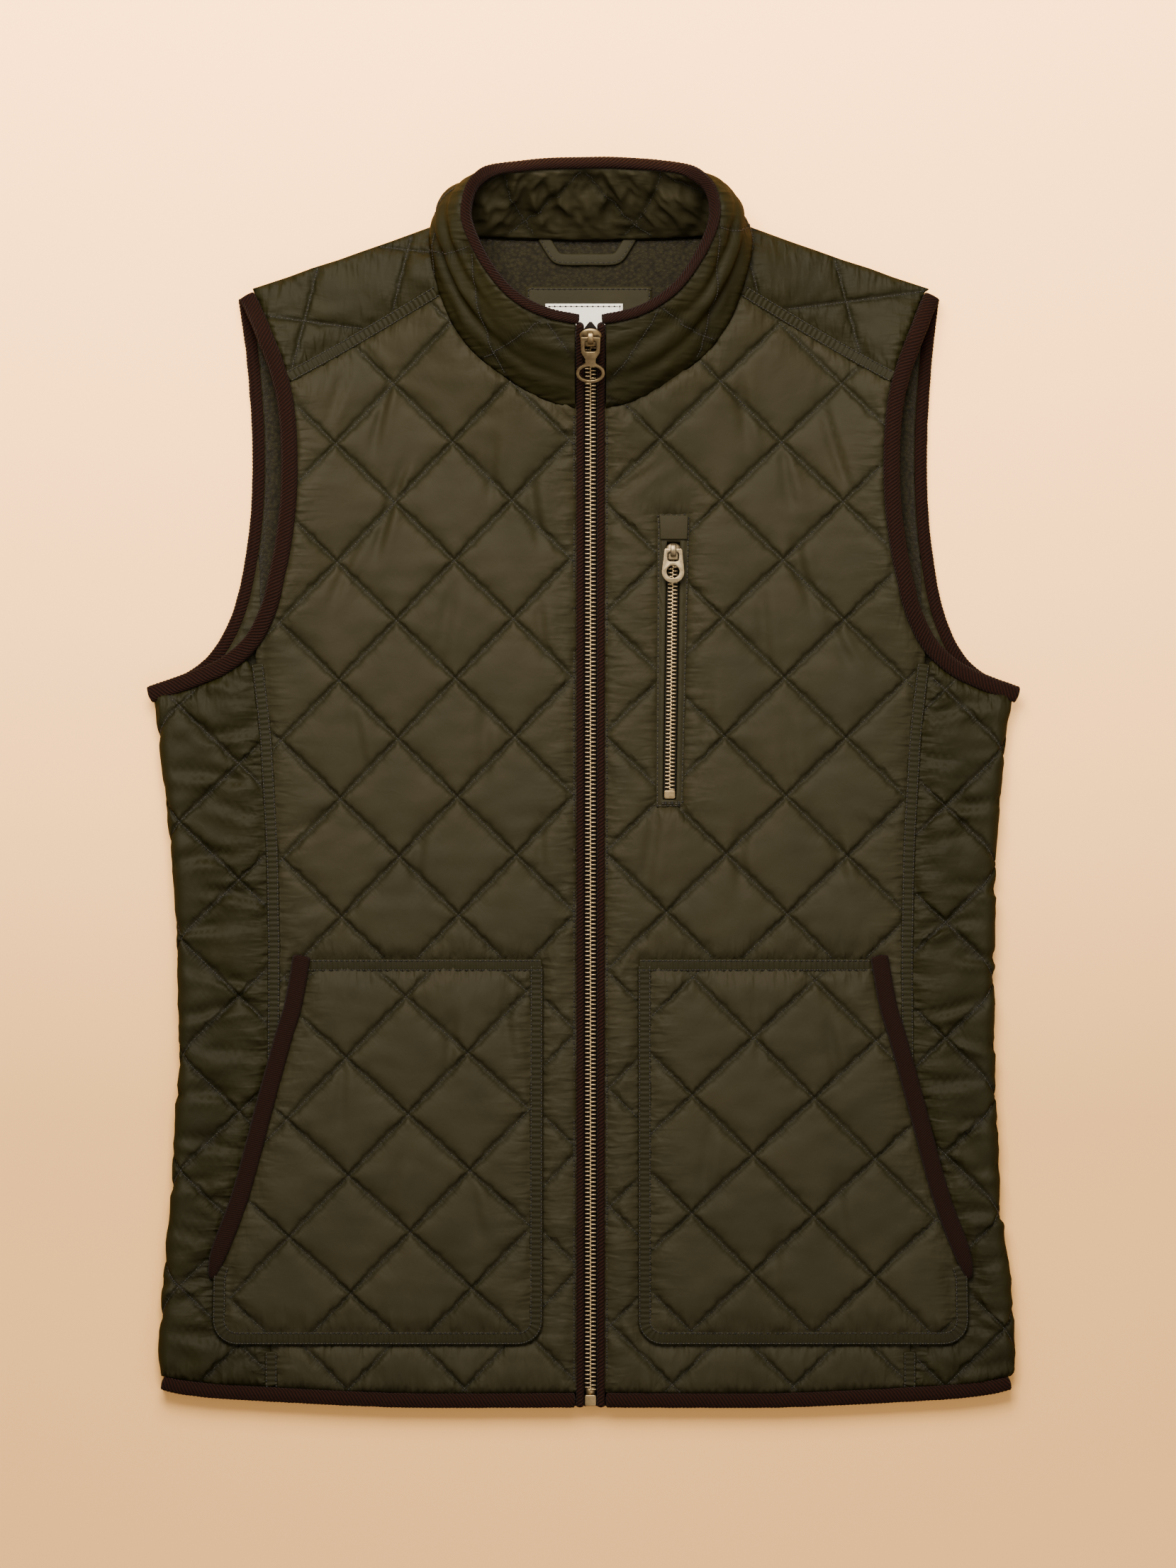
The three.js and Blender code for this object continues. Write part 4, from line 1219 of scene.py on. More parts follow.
@dataclass
class Body:
    """Fronts, yokes, side panels, back, lining and pockets of the vest."""

    side_band: float = 3.9
    yoke_band: float = 6.6
    fold_radius: float = 1.3
    fold_length: float = 32.0
    back_side: float = 195.0

    def front(self, side: Side) -> Panel:
        """Front panel of one side."""
        armhole = [p for p in armhole_edge(side, 5.0) if 456 < p[1] < 615]
        seam = curve(OUTLINES["side_seam"], 30)
        neck = [(x * 0.965, 702 + (y - 702) * 0.965) for x, y in curve(OUTLINES["neck"][2:], 24)]
        hem = [(x, hem_at(x)) for x in (8.4, 60, 110, 150, 170, 192)]
        half = [*hem, *seam[::-1][1:], *armhole[::-1], OUTLINES["yoke_seam"][0], (87.5, 670.5), *neck[1:]]
        half[-1] = (8.4, half[-1][1])
        edges = [
            Edge(mirrored(hem, side), 0.8), Edge(mirrored(seam, side), self.side_band),
            Edge(mirrored(armhole, side), 0.8), Edge(mirrored(OUTLINES["yoke_seam"], side), 1.2),
            Edge(mirrored(neck, side), 1.8), Edge(mirrored([(9.2, 0), (9.2, 605)], side), 1.0),
        ]
        flats = [mirrored(grown(POCKET.outline(0.4, 5.6), 0.2), side)]
        if side is Side.LEFT:
            flats.append(CHEST.outline(0.4))
        return Panel(
            "front_" + side.label, QUILTS["front_" + side.label], grown(mirrored(half, side), 0.5), edges,
            lambda x, y, h: Vector((x, y, inner_height(x, y) + h)), flats,
            under=FLEECE, creases=[Crease(*row) for row in FRONT_CREASES[side]], seed=3.0 + side.value,
            profile=self.chest_profile if side is Side.LEFT else None,
        )

    @staticmethod
    def chest_profile(x: float, y: float, puff: float) -> float:
        """Height of the left front, which dips under the chest pocket's field."""
        within = abs(x - CHEST.x_at(y)) < CHEST.half_at(y) - 0.4 and CHEST.bottom < y < CHEST.top
        return 1.3 if within else WALL + puff

    def yoke(self, side: Side) -> Panel:
        """Shoulder yoke of one side."""
        armhole = [p for p in armhole_edge(side, 5.0) if p[1] > 619]
        shoulder = OUTLINES["shoulder"][1:-1]
        neck = [(95.0, 711.8), (92.4, 690), (87.8, 671)]
        half = [(87.8, 671), (181, 617.6), *armhole[::-1], (204.5, 673.8), *shoulder[::-1], *neck[:2]]
        edges = [
            Edge(mirrored(OUTLINES["yoke_seam"], side), self.yoke_band), Edge(mirrored(armhole, side), 0.8),
            Edge(mirrored([(211, 671), *shoulder[::-1], (98, 711)], side), 0.6),
            Edge(mirrored(neck, side), 0.8),
        ]
        # The yoke's outer face takes the nylon painted darker as shade.
        return Panel(
            "yoke_" + side.label, QUILTS["yoke_" + side.label], clockwise(mirrored(half, side)), edges,
            lambda x, y, h: Vector((x, y, inner_height(x, y) + h)),
            puff=3.6, over=PAINTED_SHADE_NYLON, under=FLEECE, seed=11.0 + side.value,
        )

    def side_panel(self, side: Side) -> Panel:
        """Side panel, cut flat and turned round the side fold and back under the lining."""
        def fold_at(y: float) -> float:
            """Place where the turn starts."""
            return fold_reach(y, side) - self.fold_radius - WALL - 4.5

        def far_at(y: float) -> float:
            """Place of the far edge on the flat cut."""
            return 2 * fold_at(y) + self.fold_length - self.back_side - SEAM

        seam = [(x + SEAM, y) for x, y in curve(OUTLINES["side_seam"], 30)]
        back_edge = offset(back_middle(side), 3.4)
        turned = [
            (2 * fold_at(y) + self.fold_length - x, y) for x, y in back_edge
            if self.back_side + SEAM < x < fold_at(y) - 6 and y < 517
        ]
        upper = [(x, y) for x, y in armhole_edge(side, 5.0) if 204 < x < fold_at(y) - 6]
        fold_top = upper[-1][1] - 1.2
        fold_hem = hem_at(fold_at(10) + 9)
        rows = [508, *[row[0] for row in SIDE_FOLD[:-1]], 12.5][::-1]
        hem = [(x, y - 1.4) for x, y in ((215, hem_at(215)), (235, hem_at(235)), (fold_at(10), fold_hem))]
        far = [(far_at(y), y) for y in rows]
        turned_at = fold_at(10) + self.fold_length
        under_hem = [(turned_at, fold_hem), (turned_at + 40, hem_at(215))]
        top = [
            *turned, (fold_at(427) + self.fold_length * 0.9, fold_top),
            (fold_at(427) + self.fold_length * 0.1, fold_top),
        ]
        outline = clockwise([*seam[1:], *hem, *under_hem, *far, *top, *upper[::-1]])
        edges = [
            Edge(seam, self.side_band), Edge([seam[-1], *hem, *under_hem, far[0]], 0.8), Edge(far, 1.0),
            Edge([far[-1], *top, *upper[::-1]], 0.8),
        ]

        def place(x: float, y: float, h: float) -> Vector:
            """Place of the flat cut once it is turned round the fold."""
            past = min(1.0, max(0.0, (x - fold_at(y)) / self.fold_length))
            back = max(0.0, x - fold_at(y) - self.fold_length)
            centre = min(x, fold_at(y)) - back
            reach = self.fold_radius + h
            across = side.value * (centre + reach * math.sin(past * math.pi))
            return Vector((across, y, BACK + self.fold_radius + reach * math.cos(past * math.pi)))

        def profile(x: float, y: float, puff: float) -> float:
            """Height of the outer face, thinner round the fold and flat below."""
            past = (x - fold_at(y)) / self.fold_length
            round_off = smooth(-0.5, 0.2, past)
            upper_face = WALL + mix(puff, 0.55 * puff + 1.8, round_off) + 0.6 * round_off
            lower_face = BACK - 1.3 * (1 - min(1.0, puff / 2.5))
            return mix(upper_face, lower_face, smooth(0.1, 0.9, past))

        pocket = grown(POCKET.outline(0.4, 5.6), 0.2)
        # The outer face takes the nylon painted darker as shade.
        return Panel(
            "side_panel_" + side.label, QUILTS["side_" + side.label], outline, edges, place,
            [pocket], profile=profile, excess=0.07, seed=19.0 + side.value,
            crumple=2.4, over=PAINTED_SHADE_NYLON,
            creases=[Crease(x, y - 9 * side.value, a, b, 1.5 * c, d) for x, y, a, b, c, d in SIDE_CREASES],
        )

    def patch(self, side: Side) -> Panel:
        """Quilted field of one lower pocket."""
        outline = mirrored(POCKET.outline(-0.5, -4.6), side)
        corners = mirrored([p for p in POCKET.outline(0, -5.3) if p[1] < 79], side)
        slant = mirrored([(x - 5.3, y) for x, y in curve(OUTLINES["pocket_slant"], 24)], side)
        top = mirrored([(POCKET.inner, POCKET.top), (180, POCKET.top)], side)
        inner = mirrored([(POCKET.inner, POCKET.top), (POCKET.inner, 50)], side)
        edges = [
            Edge(corners, POCKET.frame), Edge(slant, 0.8), Edge(top, POCKET.frame - 0.6),
            Edge(inner, POCKET.frame),
        ]
        return Panel(
            "patch_pocket_" + side.label, QUILTS["pocket_" + side.label], clockwise(outline), edges,
            lambda x, y, h: Vector((x, y, POCKET.base + h)),
            wall=POCKET.wall, seed=27.0 + side.value,
            creases=[Crease(*row) for row in POCKET_CREASES[side]],
        )

    def back_outline(self, inset: float, reach: float, neck: float) -> list[Point]:
        """Outline of the back panel or its lining."""
        def half(side: Side) -> list[Point]:
            """Outline of one half, from the hem up."""
            edge = offset(offset(back_middle(side), 3.4), inset)
            arm = [(x, y) for x, y in edge if x < reach + 7 and y > 509.5]
            shoulder = [(x, y - 1.5 - inset) for x, y in OUTLINES["shoulder"][:-1]]
            hem = [(x, hem_at(x) + inset) for x in (20, 75, 150, reach)]
            tip = (204.0, 672.2 - inset)
            return [*hem, (reach, 507), *arm[::-1], tip, *shoulder[::-1], (84, neck + 3), (50, neck)]

        return clockwise([(0, neck - 1), *mirrored(half(Side.RIGHT), Side.RIGHT)[::-1], *half(Side.LEFT)])

    def back(self) -> Panel:
        """Back panel: quilted on its under face, which rests on the floor."""
        outline = self.back_outline(0, self.back_side, 708.6)

        def profile(x: float, y: float, puff: float) -> float:
            """Height of the outer face, flat on the floor between its lines."""
            return BACK - 1.3 * (1 - min(1.0, puff / 2.5))

        return Panel(
            "back_panel", QUILTS["back"], outline, [Edge([*outline, outline[0]], 0.8)],
            lambda x, y, h: Vector((x, y, BACK - h)), grain=10, profile=profile, seed=31.0,
        )

    def lining(self) -> Piece:
        """Fleece lining of the back, with the prints of the quilting behind it."""
        outline = self.back_outline(0.7, 199.5, 703.6)
        panel = Panel(
            "back_lining", QUILTS["back"], outline, [Edge([*outline, outline[0]], 0.5)],
            lambda x, y, h: Vector((x, y, LINING_BASE + h)), grain=10, wall=1.2, puff=0.8,
            seed=37.0,
        )
        panel.lay_out()
        piece = stand_for(finished("back_lining", panel.closed(0), [FLEECE]), "back_lining")
        return piece


# Place, length, width, depth and lean of the troughs in each part.
SIDE_CREASES: list[tuple[float, ...]] = [
    (222, 430, 50, 3, 2.6, 75), (214, 398, 36, 3, 2.0, 100), (232, 372, 44, 3, 2.8, 82),
    (212, 350, 30, 2.6, 1.8, 70), (236, 322, 40, 3, 2.6, 98), (215, 300, 40, 3, 2.2, 80),
    (238, 280, 36, 3, 2.8, 92), (222, 250, 44, 3, 2.2, 76), (236, 228, 36, 3, 2.6, 100),
    (218, 205, 36, 2.8, 2.2, 84), (240, 180, 36, 3, 2.8, 94), (232, 150, 40, 3, 2.4, 78),
    (246, 125, 34, 3, 2.6, 96), (240, 95, 34, 3, 2.2, 70), (250, 66, 30, 3, 2.4, 90),
    (225, 60, 40, 3, 1.8, 104), (240, 34, 36, 3, 2.0, 82),
]

FRONT_CREASES: dict[Side, list[tuple[float, ...]]] = {
    Side.RIGHT: [
        (-126, 598, 46, 2.6, 2.2, 14), (-122, 540, 60, 3, 2.4, 17), (-60, 566, 40, 3.2, 1.6, 4),
        (-34, 540, 44, 3.4, 1.8, -8), (-152, 610, 36, 2.6, 1.5, 20), (-88, 470, 50, 4, 1.3, 10),
        (-30, 470, 30, 3, 1.4, -4), (-150, 500, 40, 3, 1.4, 22), (-64, 400, 46, 3.8, 1.1, 2),
        (-140, 400, 40, 3.4, 1.2, -12), (-104, 330, 44, 3.6, 1.1, 8), (-30, 340, 34, 3, 1.2, 0),
        (-172, 350, 30, 2.6, 1.3, 70), (-172, 300, 26, 2.6, 1.2, 78), (-20, 600, 28, 2.6, 1.6, -50),
    ],
    Side.LEFT: [
        (147, 578, 46, 2.6, 2.6, -17), (118, 560, 44, 3, 1.6, -10), (92, 600, 40, 3.2, 1.5, -6),
        (128, 500, 50, 3.4, 1.7, -14), (104, 470, 44, 3.6, 1.3, -4), (150, 460, 34, 2.8, 1.4, -24),
        (70, 420, 40, 3.4, 1.2, 4), (120, 390, 44, 3.8, 1.1, -6), (36, 335, 50, 3.6, 1.8, 8),
        (90, 330, 44, 3.6, 1.2, 2), (150, 330, 36, 3.2, 1.2, -10), (172, 350, 28, 2.6, 1.3, -70),
        (22, 598, 28, 2.6, 1.6, 48), (30, 560, 30, 2.6, 1.3, 60),
    ],
}

POCKET_CREASES: dict[Side, list[tuple[float, ...]]] = {
    Side.RIGHT: [
        (-84, 222, 40, 3.2, 1.5, 6), (-50, 230, 44, 2.6, 1.8, -6), (-120, 130, 36, 3.4, 1.2, 12),
        (-150, 190, 40, 3, 1.2, 4), (-70, 120, 36, 3.6, 1.1, -10),
    ],
    Side.LEFT: [
        (100, 224, 40, 3.4, 1.3, -4), (146, 214, 40, 2.8, 1.5, -10), (70, 150, 36, 3.2, 1.2, 8),
        (150, 120, 34, 3.4, 1.1, -8), (112, 90, 34, 3, 1.1, 4),
    ],
}


@dataclass
class Bindings:
    """Ribbed bindings of the armholes, the hem and the slanted pocket edges."""

    width: float = 10.0
    thick: float = 5.2

    def build(self) -> None:
        """Builds every binding."""
        for side in Side:
            arm = self.lengthened(armhole_middle(side, 120), 8.0)
            self.bind("armhole_binding_front_", side, arm, inner_height, self.width, seed=1.0)
            back = self.lengthened(back_middle(side, 90), 5.0)
            self.bind("armhole_binding_back_", side, back, lambda x, y: 0.0, 8.4, BACK, seed=2.0)
            self.bind("hem_binding_front_", side, self.hem(side), lambda x, y: FRONT_BASE, 8.8, seed=3.0)
            slant = self.lengthened(curve(OUTLINES["pocket_slant"], 50)[::-1], 3.6)[::-1]
            self.bind(
                "pocket_binding_", side, slant, lambda x, y: POCKET.base, 10.8, finish=TWILL, slant=2.2,
                pitch=1.8, wave=0.12, squareness=4.5, seed=4.0, tips=(1.4, 26.0),
            )
        hem = [*mirrored(self.hem(Side.RIGHT), Side.RIGHT)[::-1], *self.hem(Side.LEFT)]
        path = [Vector((x, y, 0)) for x, y in hem]
        Band("hem_binding_back", path, 8.8, BACK, RIB, ("hem_binding_back",), step=1.0, seed=5.0).build()

    def bind(
        self, stem: str, side: Side, line: list[Point], height: Callable[[float, float], float], width: float,
        thick: float | None = None, finish: Finish = RIB, slant: float = 1.0, **settings: object,
    ) -> None:
        """Builds the binding of one edge.

        Args:
            stem: Name of the piece without its side.
            side: Side of the zip.
            line: Middle of the binding, as half outline.
            height: Height of its foot above the floor at a place.
            width: Its width.
            thick: Its height, or that of all the bindings.
            finish: Its cloth.
            slant: How far the ribs slant across it, in widths.
            settings: Further fields of the band.
        """
        name = stem + side.label
        path = [Vector((x, y, height(x, y))) for x, y in mirrored(line, side)]
        Band(
            name, path, width, thick or self.thick, finish, (name,), skew=side.value * slant, **settings,
        ).build()

    @staticmethod
    def lengthened(points: list[Point], extra: float) -> list[Point]:
        """Path carried on past its end, to the side fold."""
        (bx, by), (ax, ay) = points[-2:]
        length = math.hypot(ax - bx, ay - by)
        return [*points, (ax + (ax - bx) / length * extra, ay + (ay - by) / length * extra)]

    @staticmethod
    def hem(side: Side) -> list[Point]:
        """Middle of the hem binding of one side."""
        return sided(curve(OUTLINES["hem"], 60), side)


@dataclass
class SeamBands:
    """Double-stitched seams: the side seams, the yoke seams and the frames of the patch pockets."""

    lift: float = 0.5

    def build(self) -> None:
        """Builds the bands and their stitch rows."""
        stitches = Stitches("seam_stitches", width=0.45)
        for side in Side:
            seam = [(x, y) for x, y in curve(OUTLINES["side_seam"], 90) if 11 < y < 453]
            upper = [p for p in seam if p[1] > 205]
            lower = [p for p in seam if p[1] < 34]
            (x0, y0), (x1, y1) = OUTLINES["yoke_seam"]
            shift = Vector((abs(y0 - y1), abs(x0 - x1))).normalized() * 3.2
            yoke = [(mix(x0, x1, t / 40) + shift.x, mix(y0, y1, t / 40) + shift.y) for t in range(41)]
            for name, line, width in (
                ("side_seam_upper_", upper, 7.8), ("side_seam_lower_", lower, 7.8), ("yoke_seam_", yoke, 7.6),
            ):
                path = [Vector((x, y, inner_height(x, y) + 2.4)) for x, y in mirrored(line, side)]
                self.strip(name + side.label, path, width, stitches)
            self.pocket(side, stitches)
        stitches.build()

    def strip(self, name: str, path: list[Vector], width: float, stitches: Stitches) -> None:
        """One raised band with gathers like ladder rungs between two stitch rows."""
        # The band takes the nylon painted darker as shade.
        band = Band(
            name, path, width, self.lift + 0.9, PAINTED_SHADE_NYLON, pitch=3.2, wave=0.42, skew=0.0, step=0.7,
            columns=14, squareness=3.0,
        )
        self.mark(band.build())
        for across in (-width / 2 + 1.0, width / 2 - 1.0):
            stitches.add_row(band.row_at(across, self.lift + 1.14))

    @staticmethod
    def mark(piece: Piece, tone: float = 0.05) -> None:
        """Keeps the gathers of the finish off a plain piece, and sets how much of the finish's painted flat
        light it takes, from 0 to 0.08.
        """
        for name in ("quilt", "seam"):
            layer = piece.data.uv_layers.new(name=name)
            for loop in layer.data:
                loop.uv = (0.5, 60.0 if name == "seam" else tone)

    def pocket(self, side: Side, stitches: Stitches) -> None:
        """Flat stitched frame of one pocket."""
        half = POCKET.frame / 2
        loop = POCKET.outline(-half, -5.0)
        bottom = [p for p in loop if p[1] < POCKET.bottom + POCKET.corner + 34]
        line = spaced([(POCKET.inner + half, POCKET.top - half * 0.9), *bottom[1:]], 200)
        path = [Vector((x, y, POCKET.base + POCKET.wall - 1.0)) for x, y in mirrored(line, side)]
        self.strip("pocket_frame_" + side.label, path, POCKET.frame, stitches)
        top = [(x, POCKET.top - half + 0.2) for x in (POCKET.inner + 0.4, 100, 169.5)]
        path = [Vector((x, y, POCKET.base + POCKET.wall - 0.9)) for x, y in mirrored(top, side)]
        self.strip("pocket_top_" + side.label, evened(path, 60), POCKET.frame - 0.6, stitches)


COLLAR_HALF: list[tuple[Point, Point]] = [
    ((9, 602.4), (9, 650)), ((20, 604.8), (21, 652.5)), ((34.5, 610.8), (36, 658.5)),
    ((51, 621.2), (50, 668.5)), ((69, 635.4), (61.5, 682.5)), ((81.3, 652), (69.5, 697)),
    ((88.6, 670), (74.5, 712)), ((93, 689), (73, 726)), ((93.5, 702), (67, 735)), ((86, 708), (57, 740)),
    ((58, 706.5), (38, 742.5)), ((28, 705.5), (19, 743.5)), ((0, 705), (0, 743.8)),
]


@dataclass
class Collar:
    """Standing collar: a low leaning ring, open at the zip, with a ribbed binding on its rim.

    Its quilting crosses near the base and at the rim. The outer face lies in long rolls, and the
    inner face of the back is crumpled.
    """

    thick: float = 5.0
    rim: float = 47.0
    steps: int = 360
    heights: int = 30
    crossing: float = 0.23
    side: float = 36.0

    def __post_init__(self) -> None:
        """Lays the neck seam and the rim in even steps."""
        mirror = [((-b[0], b[1]), (-r[0], r[1])) for b, r in COLLAR_HALF]
        stations = [*mirror, *COLLAR_HALF[:-1][::-1]]
        low = [(*b, self.base_height(*b)) for b, _ in stations]
        high = [(*r, self.rim) for _, r in stations]
        self.low = [Vector(p) for p in self.dense(low)]
        self.high = [Vector(p) for p in self.dense(high)]
        self.lengths = [0.0]
        for before, after in zip(self.low, self.low[1:]):
            self.lengths.append(self.lengths[-1] + (after - before).length)
        self.length = self.lengths[-1]

    def dense(self, points: Sequence[Sequence[float]]) -> list[list[float]]:
        """Places at even shares of a curve, one for each step."""
        made = []
        for k in range(self.steps + 1):
            at = k / self.steps * (len(points) - 1)
            first = min(int(at), len(points) - 2)
            made.append(catmull(points, first, at - first))
        return made

    @staticmethod
    def base_height(x: float, y: float) -> float:
        """Height of the neck seam."""
        return BACK + 3 if y > 704 else inner_height(x * 1.02, y) + 1.4

    def place(self, step: int, height: float) -> tuple[Vector, Vector, Vector]:
        """Place on the middle surface, its outward direction and its rise."""
        low, high = self.low[step], self.high[step]
        before, after = max(step - 1, 0), min(step + 1, self.steps)
        tangent = (self.low[after] - self.low[before]) + (self.high[after] - self.high[before])
        rise = high - low
        out = rise.cross(tangent).normalized()
        shoulder = math.exp(-(((abs(low.x) - 90) / 14) ** 2)) * smooth(655, 700, low.y)
        bulge = (1.5 + 6.0 * shoulder) * math.sin(math.pi * min(1.0, max(0.0, height))) ** 0.8
        return low.lerp(high, height) + out * bulge, out, rise.normalized()

    def lattice(self, length: float, height: float) -> Point:
        """Quilting coordinates at a length along the neck seam and a height of 0 to 1."""
        turns = (length - self.length / 2 - 28) / self.side
        rise = (height - self.crossing) / (1 - self.crossing)
        return (turns + rise) / 2, (turns - rise) / 2

    def surface(self, step: int, height: float, outer: bool) -> Vector:
        """Place on the outer or inner face."""
        point, out, _ = self.place(step, height)
        length = self.lengths[step]
        u, v = self.lattice(length, height)
        swell = 1.0
        for share in (u, v):
            swell *= 1 - math.exp(-abs(share - round(share)) * 50 / 4.5)
        edge = max(0.0, math.sin(math.pi * height)) ** 0.5
        if outer:
            shoulder = smooth(612, 650, self.low[step].y) * (1 - smooth(700, 712, self.low[step].y))
            valley = 0.36 + 0.05 * math.sin(length / 47)
            roll = -3.4 * (0.35 + 0.65 * shoulder) * math.exp(-(((height - valley) / 0.075) ** 2))
            roll -= 1.8 * shoulder * math.exp(-(((height - 0.7) / 0.06) ** 2))
            drift = noise.noise(Vector((length / 42, height * 5.0, 41.0)))
            fine = noise.noise(Vector((length / 12, height * 6.0, 43.0)))
            reach = self.thick / 2 + max(-2.0, 1.1 * swell + roll + 2.4 * drift + 0.6 * fine + 1.2) * edge
            return point + out * reach
        fold = noise.noise(Vector((length / 19 + height * 0.8, height * 2.0, 45.0)))
        cross = noise.noise(Vector((length / 11 - height * 1.4, height * 3.2, 47.0)))
        fine = noise.noise(Vector((length / 8 + height * 2.6, height * 4.0, 48.0)))
        crumple = 7.0 * (0.3 - abs(fold)) + 4.5 * (0.25 - abs(cross)) + 3.4 * (0.2 - abs(fine))
        reach = self.thick / 2 + max(-1.4, 3.6 * swell * (1 + 0.5 * cross) + crumple - 0.8) * edge
        return point - out * reach

    def build(self) -> None:
        """Builds the collar, its stitches and the binding on its rim."""
        half = self.heights

        def place(along: float, around: float) -> Vector:
            """Place on the skin: up the outer face, over the rim and down the inner face."""
            step = round(along * self.steps)
            at = around * 2 * half
            if at <= half - 1:
                return self.surface(step, at / (half - 1), True)
            if at < half:
                return self.surface(step, 1.0, True)
            return self.surface(step, max(0.0, (2 * half - 1 - at) / (half - 1)), False)

        mesh = swept(self.steps, 2 * half, place, (self.steps, 2 * half))
        quilt = mesh.loops.layers.uv.new("quilt")
        seam = mesh.loops.layers.uv.new("seam")
        cloth = mesh.loops.layers.uv["cloth"]
        for face in mesh.faces:
            for loop in face.loops:
                step, around = loop[cloth].uv
                height = min(1.0, max(0.0, (around if around < half else 2 * half - 1 - around) / (half - 1)))
                loop[quilt].uv = self.lattice(self.lengths[round(step)], height)
                loop[seam].uv = (0.0, min(height, 1 - height) * 50)
            # The outer face takes the nylon painted darker as shade; the inner face keeps the plain nylon.
            face.material_index = int(max(loop[cloth].uv[1] for loop in face.loops) < half)
        piece = stand_for(finished("collar", mesh, [NYLON, PAINTED_SHADE_NYLON]), "collar")
        self.binding()
        self.stitches()

    def binding(self) -> None:
        """Ribbed binding over the rim."""
        fine = 2
        length = length_of(self.high)

        def place(along: float, around: float) -> Vector:
            """Place on the skin of the binding."""
            first, odd = divmod(round(along * self.steps * fine), fine)
            share = odd / fine
            after = min(first + 1, self.steps)
            (p, out, rise), (q, out2, rise2) = self.place(first, 1), self.place(after, 1)
            point, out, rise = p.lerp(q, share), out.lerp(out2, share), rise.lerp(rise2, share)
            if point.y < 660:
                point.x *= mix(0.78, 1.0, smooth(9, 24, abs(point.x)))
            s, t = squared(around * math.tau, 0.8)
            rib = abs(math.sin(math.pi * (along * length + t * 3.5 + s * 2.5) / 2.2)) ** 0.8 - 0.5
            sway = 0.8 * noise.noise(Vector((along * length / 24, 0, 49.0)))
            return point + out * (s * (4.1 + rib * 0.4) + sway) + rise * (2.3 + t * (2.4 + rib * 0.4))

        mesh = swept(self.steps * fine, 14, place, (length, 24))
        stand_for(finished("collar_binding", mesh, [RIB]), "collar_binding")

    def stitches(self) -> None:
        """Quilting stitches on both faces."""
        rows = Stitches("collar_stitches", Finish("olive_thread_dark", Slot.SHELL, "#1b190f", 0.7))
        for outer in (True, False):
            for slope in (1, -1):
                for line in range(-6, 7):
                    path = []
                    for k in range(31):
                        height = 0.06 + k / 30 * 0.88
                        rise = (height - self.crossing) / (1 - self.crossing)
                        length = (2 * line - slope * rise) * self.side + self.length / 2 + 28
                        step = int(np.searchsorted(self.lengths, length))
                        if 5 < step < self.steps - 5:
                            _, out, _ = self.place(step, height)
                            path.append(self.surface(step, height, outer) + out * (0.15 if outer else -0.15))
                    if len(path) > 8:
                        rows.add_row(path)
        rows.build()


@dataclass
class ZipChain:
    """Metal zip: teeth from both tapes that meet in the middle."""

    name: str
    path: list[Vector]
    pitch: float
    reach: float
    node: str
    size: tuple[float, float, float] = (3.9, 0.85, 1.7)

    def build(self) -> Piece:
        """Builds all teeth as one piece."""
        tooth = bmesh.new()
        block(tooth, self.size)
        block(tooth, (1.3, self.size[1] * 1.6, self.size[2] * 1.25), (0.65 - self.size[0] / 2, 0, 0.1))
        softened(tooth, 0.24, 1)
        bmesh.ops.scale(tooth, vec=(MM, MM, MM), verts=tooth.verts)
        gathered = bmesh.new()
        strewn(gathered, tooth, self.placings())
        bmesh.ops.recalc_face_normals(gathered, faces=gathered.faces)
        return stand_for(finished(self.name, gathered, [TEETH]), self.node)

    def placings(self) -> Iterator[Matrix]:
        """Placing of each tooth, on the two tapes by turns."""
        count = int(length_of(self.path) / self.pitch * 2)
        rows = evened(self.path, count)
        for k in range(1, count):
            along = (rows[k + 1] - rows[k - 1]).normalized()
            sign = 1 if k % 2 else -1
            across = along.cross(Vector((0, 0, 1))).normalized() * sign
            up = across.cross(along) * sign
            at = world(rows[k] + across * (self.reach - self.size[0] / 2))
            yield axes([across, up.cross(across), up, at])


@dataclass
class Plate:
    """Flat metal piece with rounded edges and holes, cut in its own plane."""

    outline: list[Point]
    holes: list[list[Point]]
    thick: float
    round_off: float = 0.32

    def mesh(self) -> Mesh:
        """Mesh in millimetres, in its own plane."""
        shape = bpy.data.curves.new("plate", "CURVE")
        shape.dimensions = "2D"
        shape.fill_mode = "BOTH"
        shape.extrude = (self.thick / 2 - self.round_off) * MM
        shape.bevel_depth = self.round_off * MM
        shape.bevel_resolution = 2
        shape.offset = -self.round_off * MM
        for ring in (self.outline, *self.holes):
            spline = shape.splines.new("POLY")
            spline.points.add(len(ring) - 1)
            for point, (x, y) in zip(spline.points, ring):
                point.co = (x * MM, y * MM, 0, 1)
            spline.use_cyclic_u = True
        holder = bpy.data.objects.new("plate", shape)
        bpy.context.scene.collection.objects.link(holder)
        made = bmesh.new()
        filled = holder.to_mesh()
        made.from_mesh(filled)
        holder.to_mesh_clear()
        bpy.data.objects.remove(holder)
        bpy.data.curves.remove(shape)
        bmesh.ops.remove_doubles(made, verts=made.verts, dist=1e-6)
        bmesh.ops.recalc_face_normals(made, faces=made.faces)
        bmesh.ops.scale(made, vec=(1 / MM, 1 / MM, 1 / MM), verts=made.verts)
        return made


def oval(cx: float, cy: float, half: Point, power: float = 2.0, steps: int = 40) -> list[Point]:
    """Points of an ellipse, squarer where the power is above 2."""
    turns = (squared((k + 0.5) / steps * math.tau, 2 / power) for k in range(steps))
    return [(cx + half[0] * c, cy + half[1] * s) for c, s in turns]


